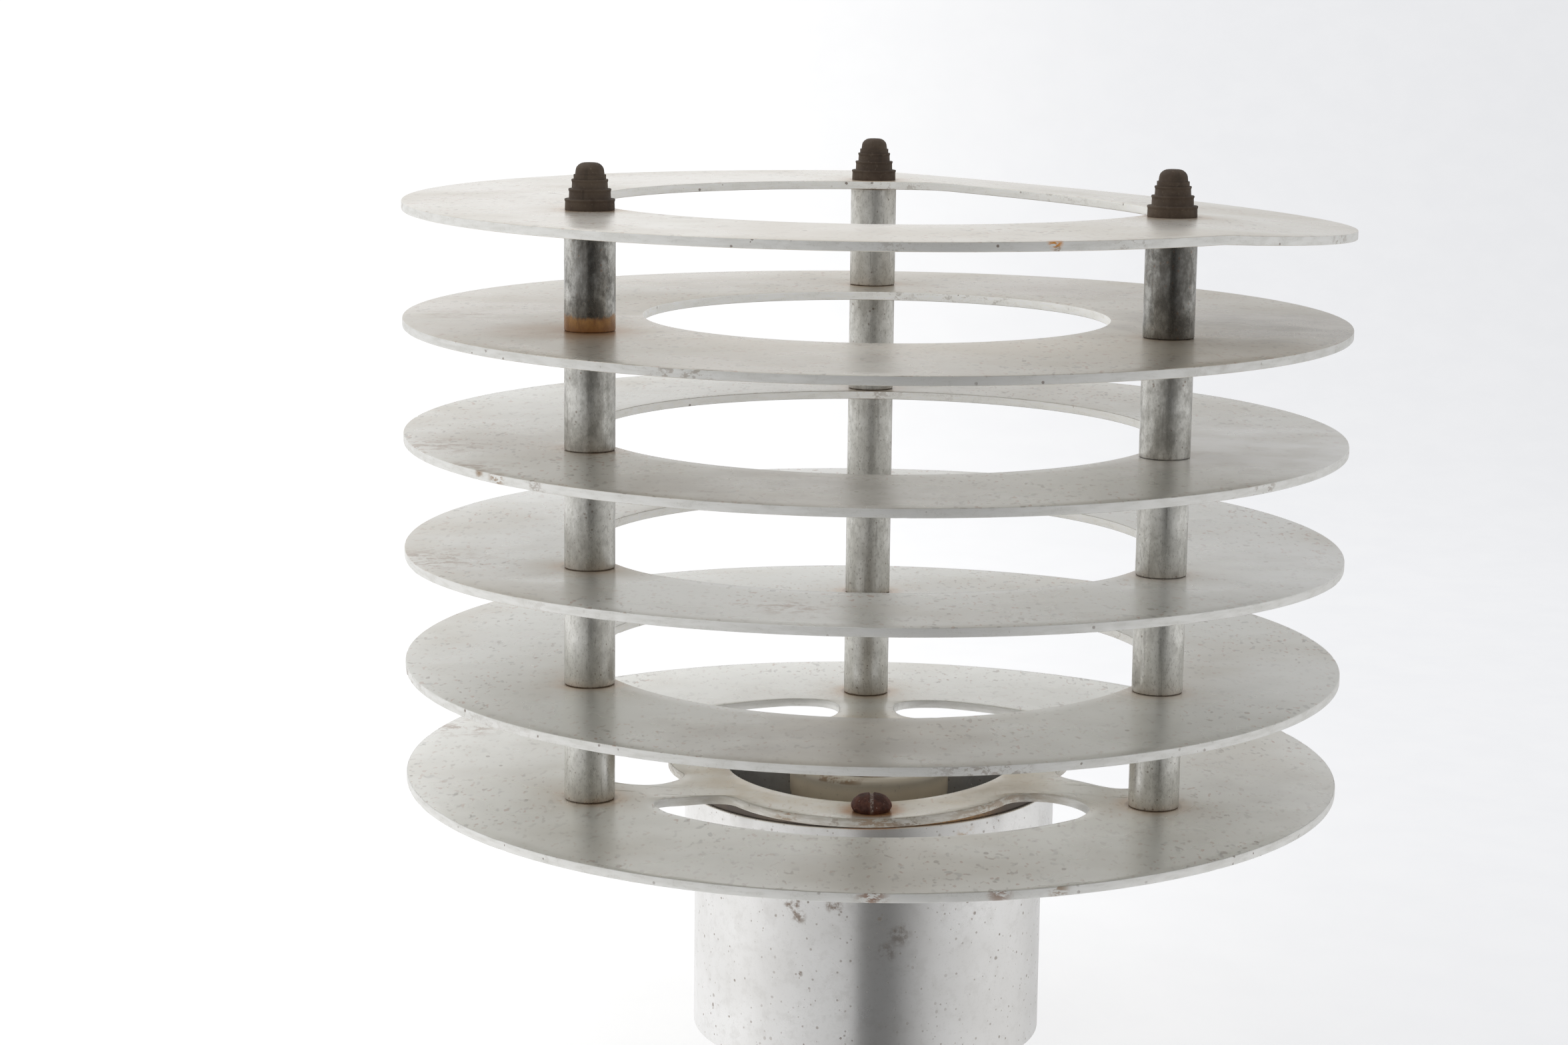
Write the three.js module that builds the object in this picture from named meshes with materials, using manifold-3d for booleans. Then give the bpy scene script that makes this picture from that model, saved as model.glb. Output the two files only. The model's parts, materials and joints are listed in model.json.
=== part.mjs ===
// Louvred outdoor lamp head: six flat aluminium rings on three tie-rod posts, a collar and tube below them,
// and a porcelain screw lampholder inside. Millimetres, +Z up, origin at the centre of the tube's lower end.
import * as THREE from 'three';
import { mergeVertices } from 'three/addons/utils/BufferGeometryUtils.js';
import Module from 'manifold-3d';

const wasm = await Module();
wasm.setup();

// ---- rings and base plate ----
const PLATE_RADIUS = 133.5;
const PLATE_THICKNESS = 2.5;
const OPENING_RADIUS = 81.5;
const NARROW_OPENING_RADIUS = 66;
const RING_COUNT = 5;
const NARROW_RING = 2;
const PLATE_TOP = 78;
const PLATE_UNDERSIDE = PLATE_TOP - PLATE_THICKNESS;
const LAMP_HOLE_RADIUS = 41;
const SLOT_COUNT = 3;
const SLOT_FIRST_AZIMUTH = 30;
const SLOT_OUTER_ARC = { radius: 81.5, end: 43, steps: 7 };
const SLOT_INNER_ARC = { radius: 44.5, offset: 16.5, end: 58, steps: 5 };
const BRIDGE_HALF_WIDTH = 8.5;
const BRIDGE_SIDE = { outerCorner: 79.5, middle: 67, innerCorner: 55 };
const SLOT_CORNER_POINTS = 5;

// ---- posts ----
const POST_CIRCLE_RADIUS = 90;
const POST_AZIMUTHS = [90, 210, 330];
const POST_NAMES = ['rear', 'left', 'right'];
const SPACER_RADIUS = 7;
const SPACER_BORE_RADIUS = 5.5;
const SPACER_LENGTH = 30;
const PITCH = SPACER_LENGTH + PLATE_THICKNESS;
const STACK_TOP = PLATE_TOP + RING_COUNT * PITCH;
const ROD_RADIUS = 2.5;
const ROD_HOLE_RADIUS = 2.75;
const ROD_ABOVE = 9;
const ROD_BELOW = 7.5;
const NUT_ACROSS_FLATS = 8;
const NUT_HEIGHT = 4;
const NUT_BORE_RADIUS = 2.7;
const LOWER_NUT_HEIGHT = 5;

// ---- stepped caps over the top nuts: outer radius and top height of each tier ----
const CAP_TIERS = [[6.85, 3], [5.8, 5.7], [5, 8.2]];
const CAP_CROWN_RADIUS = 3.95;
const CAP_HEIGHT = 12.7;
const CAP_DOME = { height: 1.8, steps: 3 };
const CAP_NUT_POCKET = { radius: 5, height: 4.4 };
const CAP_ROD_POCKET = { radius: 2.9, height: 9.5 };

// ---- screws that hold the base plate to the collar ----
const SCREW_CIRCLE_RADIUS = 50;
const SCREW_AZIMUTHS = [30, 150, 270];
const SCREW_NAMES = ['right', 'left', 'front'];
const SCREW_HEAD_RADIUS = 5.8;
const SCREW_HEAD_HEIGHT = 5;
const SCREW_HOLE_RADIUS = 2.6;
const SCREW_SHANK_RADIUS = 2.5;
const SCREW_SHANK_LENGTH = 14;
const SCREW_SLOT = { width: 1.3, depth: 1.3 };
const SCREW_HOLE_DEPTH = 12;
const SCREW_LIP_SHARE = 0.25;
const SCREW_DOME_STEPS = 4;

// ---- collar, gasket and tube ----
const COLLAR_RADIUS = 53.5;
const COLLAR_BORE_RADIUS = 45;
const COLLAR_TOP = 72.5;
const COLLAR_SHOULDER = 55.5;
const SPIGOT_RADIUS = 47.2;
const SPIGOT_BOTTOM = 43.5;
const GASKET_INNER_RADIUS = 45.5;
const GASKET_OUTER_RADIUS = 53;
const TUBE_RADIUS = 50.5;
const TUBE_BORE_RADIUS = 47.5;
const SET_SCREW_HEIGHT = 49.5;
const SET_SCREW_RADIUS = 2.4;
const SET_SCREW_HOLE_RADIUS = 2.7;
const SET_SCREW_SOCKET = { radius: 1.4, depth: 2 };
const SET_SCREW_RECESS = 0.3;

// ---- mounting disc and what stands on it ----
const DISC_RADIUS = 47.2;
const DISC_BOTTOM = 4;
const DISC_THICKNESS = 3;
const DISC_TOP = DISC_BOTTOM + DISC_THICKNESS;
const CABLE_HOLE_RADIUS = 10;
const MOUNT_HOLE_RADIUS = 2.75;
const MOUNT_HOLE_CIRCLE_RADIUS = 38;
const GROMMET = { radius: 13, neck: 9.7, bore: 4.5, lip: 2, taper: 1 };
const BRACKET_SHEET = 2;
const BRACKET_WIDTH = 18;
const BRACKET_HALF_LENGTH = 20;
const BRACKET_FOOT = 13;
const BRACKET_TOP = 27;
const BRACKET_SCREW_OFFSET = 27;
const HOLDER_SCREW_OFFSET = 14;
const EARTH_SCREW_OFFSET = -30;
const SMALL_SCREW = { head: 3.8, headHeight: 2.6, shank: 2, slot: { width: 0.9, depth: 1 } };
const SMALL_HOLE_RADIUS = 2.3;
const HOLDER_SCREW_REACH = 8;

// ---- porcelain lampholder ----
const HOLDER_RADIUS = 23;
const HOLDER_TOP = 78;
const HOLDER_RIM = { rounding: 2, steps: 3 };
const SOCKET_RADIUS = 16.8;
const SOCKET_FLOOR = 46.5;
const TERMINAL_CAVITY = { halfLength: 18, halfWidth: 7, top: 39.5 };
const STEM_HOLE_RADIUS = 2.3;
const SHELL_TOP = 70.5;
const SHELL_ROOT_RADIUS = 14.6;
const SHELL_CREST_RADIUS = 13.5;
const SHELL_SHEET = 0.6;
const SHELL_FLANGE_RADIUS = 16;
const THREAD_TURNS = 6;
const TAB = { offset: 14, thickness: 0.6, width: 5, clearance: 0.5 };
const CONTACT_TOP = 53;
const CONTACT_BUTTON = { radius: 4.2, height: 2, rounding: 0.6 };
const CONTACT_STEM_RADIUS = 1.9;
const CONTACT_RETAINER = { radius: 3.4, height: 2, gap: 0.1 };
const SPRING = { radius: 3, wire: 0.4, wireSides: 6, turns: 3, stepsPerTurn: 12, clearance: 0.3 };
const TERMINAL = { inner: 9, outer: 16, halfWidth: 3.5, height: 9 };
const TERMINAL_WIRE_HOLE = { radius: 1.5, roof: 3 };
const TERMINAL_SCREW = {
  shank: 1.4, hole: 1.6, length: 1.7, head: 2.2, headHeight: 1.6, slot: { width: 0.6, depth: 0.6 },
};

const DEGREE = Math.PI / 180;
const CUT_MARGIN = 1;
const SEGMENTS = {
  plate: 72, opening: 48, housing: 60, post: 16, small: 12, holder: 32, grommet: 20, shell: 18, hexagon: 6,
};

const MATERIALS = {
  plate: new THREE.MeshStandardMaterial({ color: 0xb9b7b2, roughness: 0.5, metalness: 0.9 }),
  post: new THREE.MeshStandardMaterial({ color: 0xa6a5a2, roughness: 0.35, metalness: 1 }),
  housing: new THREE.MeshStandardMaterial({ color: 0xcfcecb, roughness: 0.4, metalness: 0.9 }),
  cap: new THREE.MeshStandardMaterial({ color: 0x463e34, roughness: 0.75, metalness: 0 }),
  rusty: new THREE.MeshStandardMaterial({ color: 0x3e2a20, roughness: 0.8, metalness: 0.4 }),
  zinc: new THREE.MeshStandardMaterial({ color: 0x9b9a94, roughness: 0.45, metalness: 0.9 }),
  porcelain: new THREE.MeshStandardMaterial({ color: 0xb8ad9b, roughness: 0.35, metalness: 0 }),
  brass: new THREE.MeshStandardMaterial({ color: 0xa98a4c, roughness: 0.4, metalness: 1 }),
  rubber: new THREE.MeshStandardMaterial({ color: 0x2d2a27, roughness: 0.85, metalness: 0 }),
};

const lampHead = new THREE.Group();

function add(name, geometry, material, x = 0, y = 0, z = 0) {
  const mesh = new THREE.Mesh(geometry, material);
  mesh.name = name;
  mesh.position.set(x, y, z);
  lampHead.add(mesh);
  return mesh;
}

// ---- points, outlines and solids ----
function polar(radius, degrees) {
  return new THREE.Vector2(radius * Math.cos(degrees * DEGREE), radius * Math.sin(degrees * DEGREE));
}

function circle(radius, segments, centre = new THREE.Vector2()) {
  const step = 360 / segments;
  return Array.from({ length: segments }, (_, i) => polar(radius, i * step).add(centre));
}

function extruded(outline, holes, depth) {
  const shape = new THREE.Shape(outline);
  shape.holes = holes.map((points) => new THREE.Path(points));
  return new THREE.ExtrudeGeometry(shape, { depth, bevelEnabled: false });
}

// A solid of revolution about Z. The profile lists [radius, height] with the material on its left.
function turned(profile, segments) {
  const points = profile.map(([radius, height]) => new THREE.Vector2(radius, height));
  return new THREE.LatheGeometry(points, segments).rotateX(Math.PI / 2);
}

// Profile points of a dome from its rim at (radius, base) to its crown on the axis.
function dome(radius, base, height, steps) {
  const points = [];
  for (let i = 0; i < steps; i += 1) {
    const angle = (i / steps) * 90;
    points.push([polar(radius, angle).x, base + polar(height, angle).y]);
  }
  points.push([0, base + height]);
  return points;
}

function washerShape(inner, outer, bottom, top, segments) {
  return turned([[inner, bottom], [outer, bottom], [outer, top], [inner, top], [inner, bottom]], segments);
}

function rod(radius, bottom, top, segments, x = 0, y = 0) {
  return turned([[0, bottom], [radius, bottom], [radius, top], [0, top]], segments).translate(x, y, 0);
}

function block(low, high) {
  const size = high.map((value, i) => value - low[i]);
  const middle = high.map((value, i) => (value + low[i]) / 2);
  return new THREE.BoxGeometry(...size).translate(...middle);
}

function toManifold(geometry) {
  const bare = geometry.clone();
  bare.deleteAttribute('normal');
  bare.deleteAttribute('uv');
  const merged = mergeVertices(bare);
  const vertProperties = new Float32Array(merged.attributes.position.array);
  const triVerts = new Uint32Array(merged.index.array);
  return new wasm.Manifold(new wasm.Mesh({ numProp: 3, vertProperties, triVerts }));
}

function toGeometry(manifold) {
  const mesh = manifold.getMesh();
  const geometry = new THREE.BufferGeometry();
  geometry.setAttribute('position', new THREE.BufferAttribute(mesh.vertProperties, 3));
  geometry.setIndex(new THREE.BufferAttribute(mesh.triVerts, 1));
  geometry.computeVertexNormals();
  return geometry;
}

function cut(body, tools) {
  const result = tools.reduce((solid, tool) => solid.subtract(toManifold(tool)), toManifold(body));
  return toGeometry(result);
}

// ---- rings and base plate ----
function rodHoles() {
  return POST_AZIMUTHS.map((azimuth) => (
    circle(ROD_HOLE_RADIUS, SEGMENTS.small, polar(POST_CIRCLE_RADIUS, azimuth))
  ));
}

function louvreRing(openingRadius) {
  const holes = [circle(openingRadius, SEGMENTS.opening), ...rodHoles()];
  return extruded(circle(PLATE_RADIUS, SEGMENTS.plate), holes, PLATE_THICKNESS);
}

// Half of one curved slot, symmetric about its own +X axis. The outer arc runs round the plate's centre and
// the inner arc round a point nearer the slot. The rounded end leaves a straight bridge to the next slot.
function slotHalfOutline() {
  const along = polar(1, 180 / SLOT_COUNT);
  const across = polar(1, 180 / SLOT_COUNT - 90);
  const innerCentre = new THREE.Vector2(SLOT_INNER_ARC.offset, 0);
  const onInnerArc = (degrees) => polar(SLOT_INNER_ARC.radius, degrees).add(innerCentre);
  const onBridge = (distance) => (
    along.clone().multiplyScalar(distance).addScaledVector(across, BRIDGE_HALF_WIDTH)
  );
  const points = [];
  for (let i = 0; i <= SLOT_OUTER_ARC.steps; i += 1) {
    points.push(polar(SLOT_OUTER_ARC.radius, (i * SLOT_OUTER_ARC.end) / SLOT_OUTER_ARC.steps));
  }
  const middle = onBridge(BRIDGE_SIDE.middle);
  const corners = [
    [points.at(-1), onBridge(BRIDGE_SIDE.outerCorner), middle],
    [middle, onBridge(BRIDGE_SIDE.innerCorner), onInnerArc(SLOT_INNER_ARC.end)],
  ];
  for (const corner of corners) {
    const curve = new THREE.QuadraticBezierCurve(...corner);
    points.push(...curve.getPoints(SLOT_CORNER_POINTS).slice(1));
  }
  for (let i = SLOT_INNER_ARC.steps - 1; i >= 0; i -= 1) {
    points.push(onInnerArc((i * SLOT_INNER_ARC.end) / SLOT_INNER_ARC.steps));
  }
  return points;
}

function slotOutline(azimuth) {
  const half = slotHalfOutline();
  const other = half.slice(1, -1).reverse().map((point) => new THREE.Vector2(point.x, -point.y));
  const centre = new THREE.Vector2();
  return [...half, ...other].map((point) => point.clone().rotateAround(centre, azimuth * DEGREE));
}

function basePlate() {
  const holes = [circle(LAMP_HOLE_RADIUS, SEGMENTS.opening), ...rodHoles()];
  for (let i = 0; i < SLOT_COUNT; i += 1) {
    holes.push(slotOutline(SLOT_FIRST_AZIMUTH + i * (360 / SLOT_COUNT)));
  }
  for (const azimuth of SCREW_AZIMUTHS) {
    holes.push(circle(SCREW_HOLE_RADIUS, SEGMENTS.small, polar(SCREW_CIRCLE_RADIUS, azimuth)));
  }
  return extruded(circle(PLATE_RADIUS, SEGMENTS.plate), holes, PLATE_THICKNESS);
}

add('base_plate', basePlate(), MATERIALS.plate, 0, 0, PLATE_UNDERSIDE);
for (let ring = 1; ring <= RING_COUNT; ring += 1) {
  const openingRadius = ring === NARROW_RING ? NARROW_OPENING_RADIUS : OPENING_RADIUS;
  const bottom = STACK_TOP - (ring - 1) * PITCH - PLATE_THICKNESS;
  add(`louvre_ring_${ring}`, louvreRing(openingRadius), MATERIALS.plate, 0, 0, bottom);
}

// ---- posts: spacer tubes on a tie rod, a nut under the base plate, a nut and a stepped cap on top ----
function spacer() {
  return washerShape(SPACER_BORE_RADIUS, SPACER_RADIUS, 0, SPACER_LENGTH, SEGMENTS.post);
}

function hexNut(height) {
  const cornerRadius = NUT_ACROSS_FLATS / 2 / Math.cos(30 * DEGREE);
  return extruded(circle(cornerRadius, SEGMENTS.hexagon), [circle(NUT_BORE_RADIUS, SEGMENTS.small)], height);
}

function steppedCap() {
  const nutPocket = CAP_NUT_POCKET;
  const rodPocket = CAP_ROD_POCKET;
  const profile = [[nutPocket.radius, 0]];
  let bottom = 0;
  for (const [radius, top] of CAP_TIERS) {
    profile.push([radius, bottom], [radius, top]);
    bottom = top;
  }
  const shoulder = CAP_HEIGHT - CAP_DOME.height;
  profile.push([CAP_CROWN_RADIUS, bottom]);
  profile.push(...dome(CAP_CROWN_RADIUS, shoulder, CAP_DOME.height, CAP_DOME.steps));
  profile.push([0, rodPocket.height], [rodPocket.radius, rodPocket.height]);
  profile.push([rodPocket.radius, nutPocket.height], [nutPocket.radius, nutPocket.height]);
  profile.push([nutPocket.radius, 0]);
  return turned(profile, SEGMENTS.post);
}

POST_AZIMUTHS.forEach((azimuth, post) => {
  const { x, y } = polar(POST_CIRCLE_RADIUS, azimuth);
  const side = POST_NAMES[post];
  for (let level = 1; level <= RING_COUNT; level += 1) {
    const bottom = STACK_TOP - level * PITCH;
    add(`spacer_${side}_${level}`, spacer(), MATERIALS.post, x, y, bottom);
  }
  const rodBottom = PLATE_UNDERSIDE - ROD_BELOW;
  const rodLength = STACK_TOP + ROD_ABOVE - rodBottom;
  add(`tie_rod_${side}`, rod(ROD_RADIUS, 0, rodLength, SEGMENTS.small), MATERIALS.zinc, x, y, rodBottom);
  add(`top_nut_${side}`, hexNut(NUT_HEIGHT), MATERIALS.zinc, x, y, STACK_TOP);
  const lowerNutBottom = PLATE_UNDERSIDE - LOWER_NUT_HEIGHT;
  add(`lower_nut_${side}`, hexNut(LOWER_NUT_HEIGHT), MATERIALS.zinc, x, y, lowerNutBottom);
  add(`stepped_cap_${side}`, steppedCap(), MATERIALS.cap, x, y, STACK_TOP);
});

// ---- screws ----
// A slotted screw standing on z = 0, its shank below. The head is a shallow dome.
function slottedScrew(headRadius, headHeight, shankRadius, shankLength, slot) {
  const lip = headHeight * SCREW_LIP_SHARE;
  const body = turned([
    [0, -shankLength], [shankRadius, -shankLength], [shankRadius, 0], [headRadius, 0],
    ...dome(headRadius, lip, headHeight - lip, SCREW_DOME_STEPS),
  ], SEGMENTS.post);
  const halfWidth = slot.width / 2;
  const groove = block(
    [-halfWidth, -headRadius - CUT_MARGIN, headHeight - slot.depth],
    [halfWidth, headRadius + CUT_MARGIN, headHeight + CUT_MARGIN],
  );
  return cut(body, [groove]);
}

SCREW_AZIMUTHS.forEach((azimuth, i) => {
  const { x, y } = polar(SCREW_CIRCLE_RADIUS, azimuth);
  const geometry = slottedScrew(
    SCREW_HEAD_RADIUS, SCREW_HEAD_HEIGHT, SCREW_SHANK_RADIUS, SCREW_SHANK_LENGTH, SCREW_SLOT,
  );
  add(`plate_screw_${SCREW_NAMES[i]}`, geometry, MATERIALS.rusty, x, y, PLATE_TOP);
});

function smallScrew(shankLength) {
  const { head, headHeight, shank, slot } = SMALL_SCREW;
  return slottedScrew(head, headHeight, shank, shankLength, slot);
}

// ---- collar, gasket, tube and set screws ----
// A rod pointing outwards through the tube's wall at the set screws' height.
function radialRod(radius, inner, outer, segments, azimuth) {
  const geometry = rod(radius, inner, outer, segments);
  return geometry.rotateY(Math.PI / 2).rotateZ(azimuth * DEGREE).translate(0, 0, SET_SCREW_HEIGHT);
}

function setScrewHoles() {
  const inner = COLLAR_BORE_RADIUS - CUT_MARGIN;
  const outer = TUBE_RADIUS + CUT_MARGIN;
  return POST_AZIMUTHS.map((azimuth) => (
    radialRod(SET_SCREW_HOLE_RADIUS, inner, outer, SEGMENTS.small, azimuth)
  ));
}

function screwShafts(bottom, top) {
  return SCREW_AZIMUTHS.map((azimuth) => {
    const { x, y } = polar(SCREW_CIRCLE_RADIUS, azimuth);
    return rod(SCREW_HOLE_RADIUS, bottom, top, SEGMENTS.small, x, y);
  });
}

// The collar's lower part slides into the tube; its wider rim rests on the tube's end and carries the screws.
function collar() {
  const body = turned([
    [COLLAR_BORE_RADIUS, SPIGOT_BOTTOM], [SPIGOT_RADIUS, SPIGOT_BOTTOM], [SPIGOT_RADIUS, COLLAR_SHOULDER],
    [COLLAR_RADIUS, COLLAR_SHOULDER], [COLLAR_RADIUS, COLLAR_TOP], [COLLAR_BORE_RADIUS, COLLAR_TOP],
    [COLLAR_BORE_RADIUS, SPIGOT_BOTTOM],
  ], SEGMENTS.housing);
  const shafts = screwShafts(COLLAR_TOP - SCREW_HOLE_DEPTH, COLLAR_TOP + CUT_MARGIN);
  return cut(body, [...shafts, ...setScrewHoles()]);
}

function gasket() {
  const thickness = PLATE_UNDERSIDE - COLLAR_TOP;
  const body = washerShape(GASKET_INNER_RADIUS, GASKET_OUTER_RADIUS, 0, thickness, SEGMENTS.housing);
  return cut(body, screwShafts(-CUT_MARGIN, thickness + CUT_MARGIN));
}

function setScrew(azimuth) {
  const tip = COLLAR_BORE_RADIUS + SET_SCREW_RECESS;
  const end = TUBE_RADIUS - SET_SCREW_RECESS;
  const { radius, depth } = SET_SCREW_SOCKET;
  const body = radialRod(SET_SCREW_RADIUS, tip, end, SEGMENTS.small, azimuth);
  return cut(body, [radialRod(radius, end - depth, end + CUT_MARGIN, SEGMENTS.hexagon, azimuth)]);
}

const tubeBody = washerShape(TUBE_BORE_RADIUS, TUBE_RADIUS, 0, COLLAR_SHOULDER, SEGMENTS.housing);
add('housing_collar', collar(), MATERIALS.housing);
add('collar_gasket', gasket(), MATERIALS.rubber, 0, 0, COLLAR_TOP);
add('housing_tube', cut(tubeBody, setScrewHoles()), MATERIALS.housing);
POST_AZIMUTHS.forEach((azimuth, i) => {
  add(`set_screw_${POST_NAMES[i]}`, setScrew(azimuth), MATERIALS.zinc);
});

// ---- mounting disc, cable grommet, lampholder bracket and their screws ----
function mountingDisc() {
  const holes = [circle(CABLE_HOLE_RADIUS, SEGMENTS.holder)];
  for (const azimuth of SCREW_AZIMUTHS) {
    holes.push(circle(MOUNT_HOLE_RADIUS, SEGMENTS.small, polar(MOUNT_HOLE_CIRCLE_RADIUS, azimuth)));
  }
  for (const side of [-1, 1]) {
    holes.push(circle(SMALL_HOLE_RADIUS, SEGMENTS.small, new THREE.Vector2(0, side * BRACKET_SCREW_OFFSET)));
  }
  holes.push(circle(SMALL_HOLE_RADIUS, SEGMENTS.small, new THREE.Vector2(EARTH_SCREW_OFFSET, 0)));
  return extruded(circle(DISC_RADIUS, SEGMENTS.housing), holes, DISC_THICKNESS);
}

function grommet() {
  const { radius, neck, bore, lip, taper } = GROMMET;
  const low = DISC_BOTTOM - lip;
  const high = DISC_TOP + lip;
  return turned([
    [bore, low], [radius - taper, low], [radius, DISC_BOTTOM], [neck, DISC_BOTTOM], [neck, DISC_TOP],
    [radius, DISC_TOP], [radius - taper, high], [bore, high], [bore, low],
  ], SEGMENTS.grommet);
}

// The bracket is one folded strip: two feet on the disc, two legs and a bridge that carries the lampholder.
function bracket() {
  const inside = BRACKET_HALF_LENGTH - BRACKET_SHEET;
  const footEnd = BRACKET_HALF_LENGTH + BRACKET_FOOT;
  const height = BRACKET_TOP - DISC_TOP;
  const half = [
    [inside, 0], [footEnd, 0], [footEnd, BRACKET_SHEET], [BRACKET_HALF_LENGTH, BRACKET_SHEET],
    [BRACKET_HALF_LENGTH, height],
  ];
  const mirrored = half.map(([y, z]) => [-y, z]).reverse();
  const inner = [[-inside, height - BRACKET_SHEET], [inside, height - BRACKET_SHEET]];
  const outline = [...half, ...mirrored, ...inner].map(([y, z]) => new THREE.Vector2(y, z));
  const body = extruded(outline, [], BRACKET_WIDTH);
  body.translate(0, 0, -BRACKET_WIDTH / 2).rotateX(Math.PI / 2).rotateZ(Math.PI / 2);
  const footHole = rod(SMALL_HOLE_RADIUS, -CUT_MARGIN, BRACKET_SHEET + CUT_MARGIN, SEGMENTS.small);
  const bridgeHole = footHole.clone().translate(0, 0, height - BRACKET_SHEET);
  const holes = [-1, 1].flatMap((side) => [
    footHole.clone().translate(0, side * BRACKET_SCREW_OFFSET, 0),
    bridgeHole.clone().translate(0, side * HOLDER_SCREW_OFFSET, 0),
  ]);
  return cut(body, holes);
}

add('mounting_disc', mountingDisc(), MATERIALS.housing, 0, 0, DISC_BOTTOM);
add('cable_grommet', grommet(), MATERIALS.rubber);
add('lampholder_bracket', bracket(), MATERIALS.zinc, 0, 0, DISC_TOP);
add('earth_screw', smallScrew(DISC_THICKNESS), MATERIALS.brass, EARTH_SCREW_OFFSET, 0, DISC_TOP);
[-1, 1].forEach((side, i) => {
  const footTop = DISC_TOP + BRACKET_SHEET;
  const shank = DISC_THICKNESS + BRACKET_SHEET;
  add(`bracket_screw_${i + 1}`, smallScrew(shank), MATERIALS.zinc, 0, side * BRACKET_SCREW_OFFSET, footTop);
  const holderScrew = smallScrew(BRACKET_SHEET + HOLDER_SCREW_REACH).rotateX(Math.PI);
  const underBridge = BRACKET_TOP - BRACKET_SHEET;
  add(`holder_screw_${i + 1}`, holderScrew, MATERIALS.zinc, 0, side * HOLDER_SCREW_OFFSET, underBridge);
});

// ---- lampholder ----
function holderBody() {
  const { rounding, steps } = HOLDER_RIM;
  const rim = [];
  for (let i = 0; i <= steps; i += 1) {
    const corner = polar(rounding, (i / steps) * 90);
    rim.push([HOLDER_RADIUS - rounding + corner.x, HOLDER_TOP - rounding + corner.y]);
  }
  const body = turned([
    [0, BRACKET_TOP], [HOLDER_RADIUS, BRACKET_TOP], ...rim,
    [SOCKET_RADIUS, HOLDER_TOP], [SOCKET_RADIUS, SOCKET_FLOOR], [0, SOCKET_FLOOR],
  ], SEGMENTS.holder);
  const { halfLength, halfWidth, top } = TERMINAL_CAVITY;
  const underside = BRACKET_TOP - CUT_MARGIN;
  const cavity = block([-halfLength, -halfWidth, underside], [halfLength, halfWidth, top]);
  const stemHole = rod(STEM_HOLE_RADIUS, top - CUT_MARGIN, SOCKET_FLOOR + CUT_MARGIN, SEGMENTS.small);
  const { offset, thickness, width, clearance } = TAB;
  const tabSlot = block(
    [offset - clearance, -width / 2 - clearance, top - CUT_MARGIN],
    [offset + thickness + clearance, width / 2 + clearance, SOCKET_FLOOR + CUT_MARGIN],
  );
  const screwHoleTop = BRACKET_TOP + HOLDER_SCREW_REACH + CUT_MARGIN;
  const screwHoles = [-1, 1].map((side) => (
    rod(SMALL_HOLE_RADIUS, underside, screwHoleTop, SEGMENTS.small, 0, side * HOLDER_SCREW_OFFSET)
  ));
  return cut(body, [cavity, stemHole, tabSlot, ...screwHoles]);
}

// A rolled screw shell: a zigzag wall between root and crest, on a flat flange.
function threadedShell() {
  const flangeTop = SOCKET_FLOOR + SHELL_SHEET;
  const step = (SHELL_TOP - flangeTop) / (2 * THREAD_TURNS);
  const wall = [];
  for (let i = 0; i <= 2 * THREAD_TURNS; i += 1) {
    wall.push([i % 2 === 0 ? SHELL_ROOT_RADIUS : SHELL_CREST_RADIUS, flangeTop + i * step]);
  }
  const inner = wall.map(([radius, height]) => [radius - SHELL_SHEET, height]).reverse();
  inner[inner.length - 1][1] = SOCKET_FLOOR;
  const flange = [[SHELL_FLANGE_RADIUS, SOCKET_FLOOR], [SHELL_FLANGE_RADIUS, flangeTop]];
  return turned([...inner.slice(-1), ...flange, ...wall, ...inner], SEGMENTS.shell);
}

function centreContact() {
  const { radius, height, rounding } = CONTACT_BUTTON;
  const retainerTop = TERMINAL_CAVITY.top - CONTACT_RETAINER.gap;
  const retainerBottom = retainerTop - CONTACT_RETAINER.height;
  const buttonBottom = CONTACT_TOP - height;
  return turned([
    [0, retainerBottom], [CONTACT_RETAINER.radius, retainerBottom], [CONTACT_RETAINER.radius, retainerTop],
    [CONTACT_STEM_RADIUS, retainerTop], [CONTACT_STEM_RADIUS, buttonBottom], [radius, buttonBottom],
    [radius, CONTACT_TOP - rounding], [radius - rounding, CONTACT_TOP], [0, CONTACT_TOP],
  ], SEGMENTS.post);
}

class Helix extends THREE.Curve {
  constructor(radius, bottom, top, turns) {
    super();
    Object.assign(this, { radius, bottom, top, turns });
  }

  getPoint(t, target = new THREE.Vector3()) {
    const angle = t * this.turns * 2 * Math.PI;
    const height = this.bottom + t * (this.top - this.bottom);
    return target.set(this.radius * Math.cos(angle), this.radius * Math.sin(angle), height);
  }
}

function contactSpring() {
  const { radius, wire, wireSides, turns, stepsPerTurn, clearance } = SPRING;
  const bottom = SOCKET_FLOOR + clearance + wire;
  const top = CONTACT_TOP - CONTACT_BUTTON.height - clearance - wire;
  const section = new THREE.Shape(circle(wire, wireSides));
  const extrudePath = new Helix(radius, bottom, top, turns);
  const steps = turns * stepsPerTurn;
  return new THREE.ExtrudeGeometry(section, { steps, extrudePath, bevelEnabled: false });
}

function terminalMiddle(side) {
  return side * (TERMINAL.inner + TERMINAL.outer) / 2;
}

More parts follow.
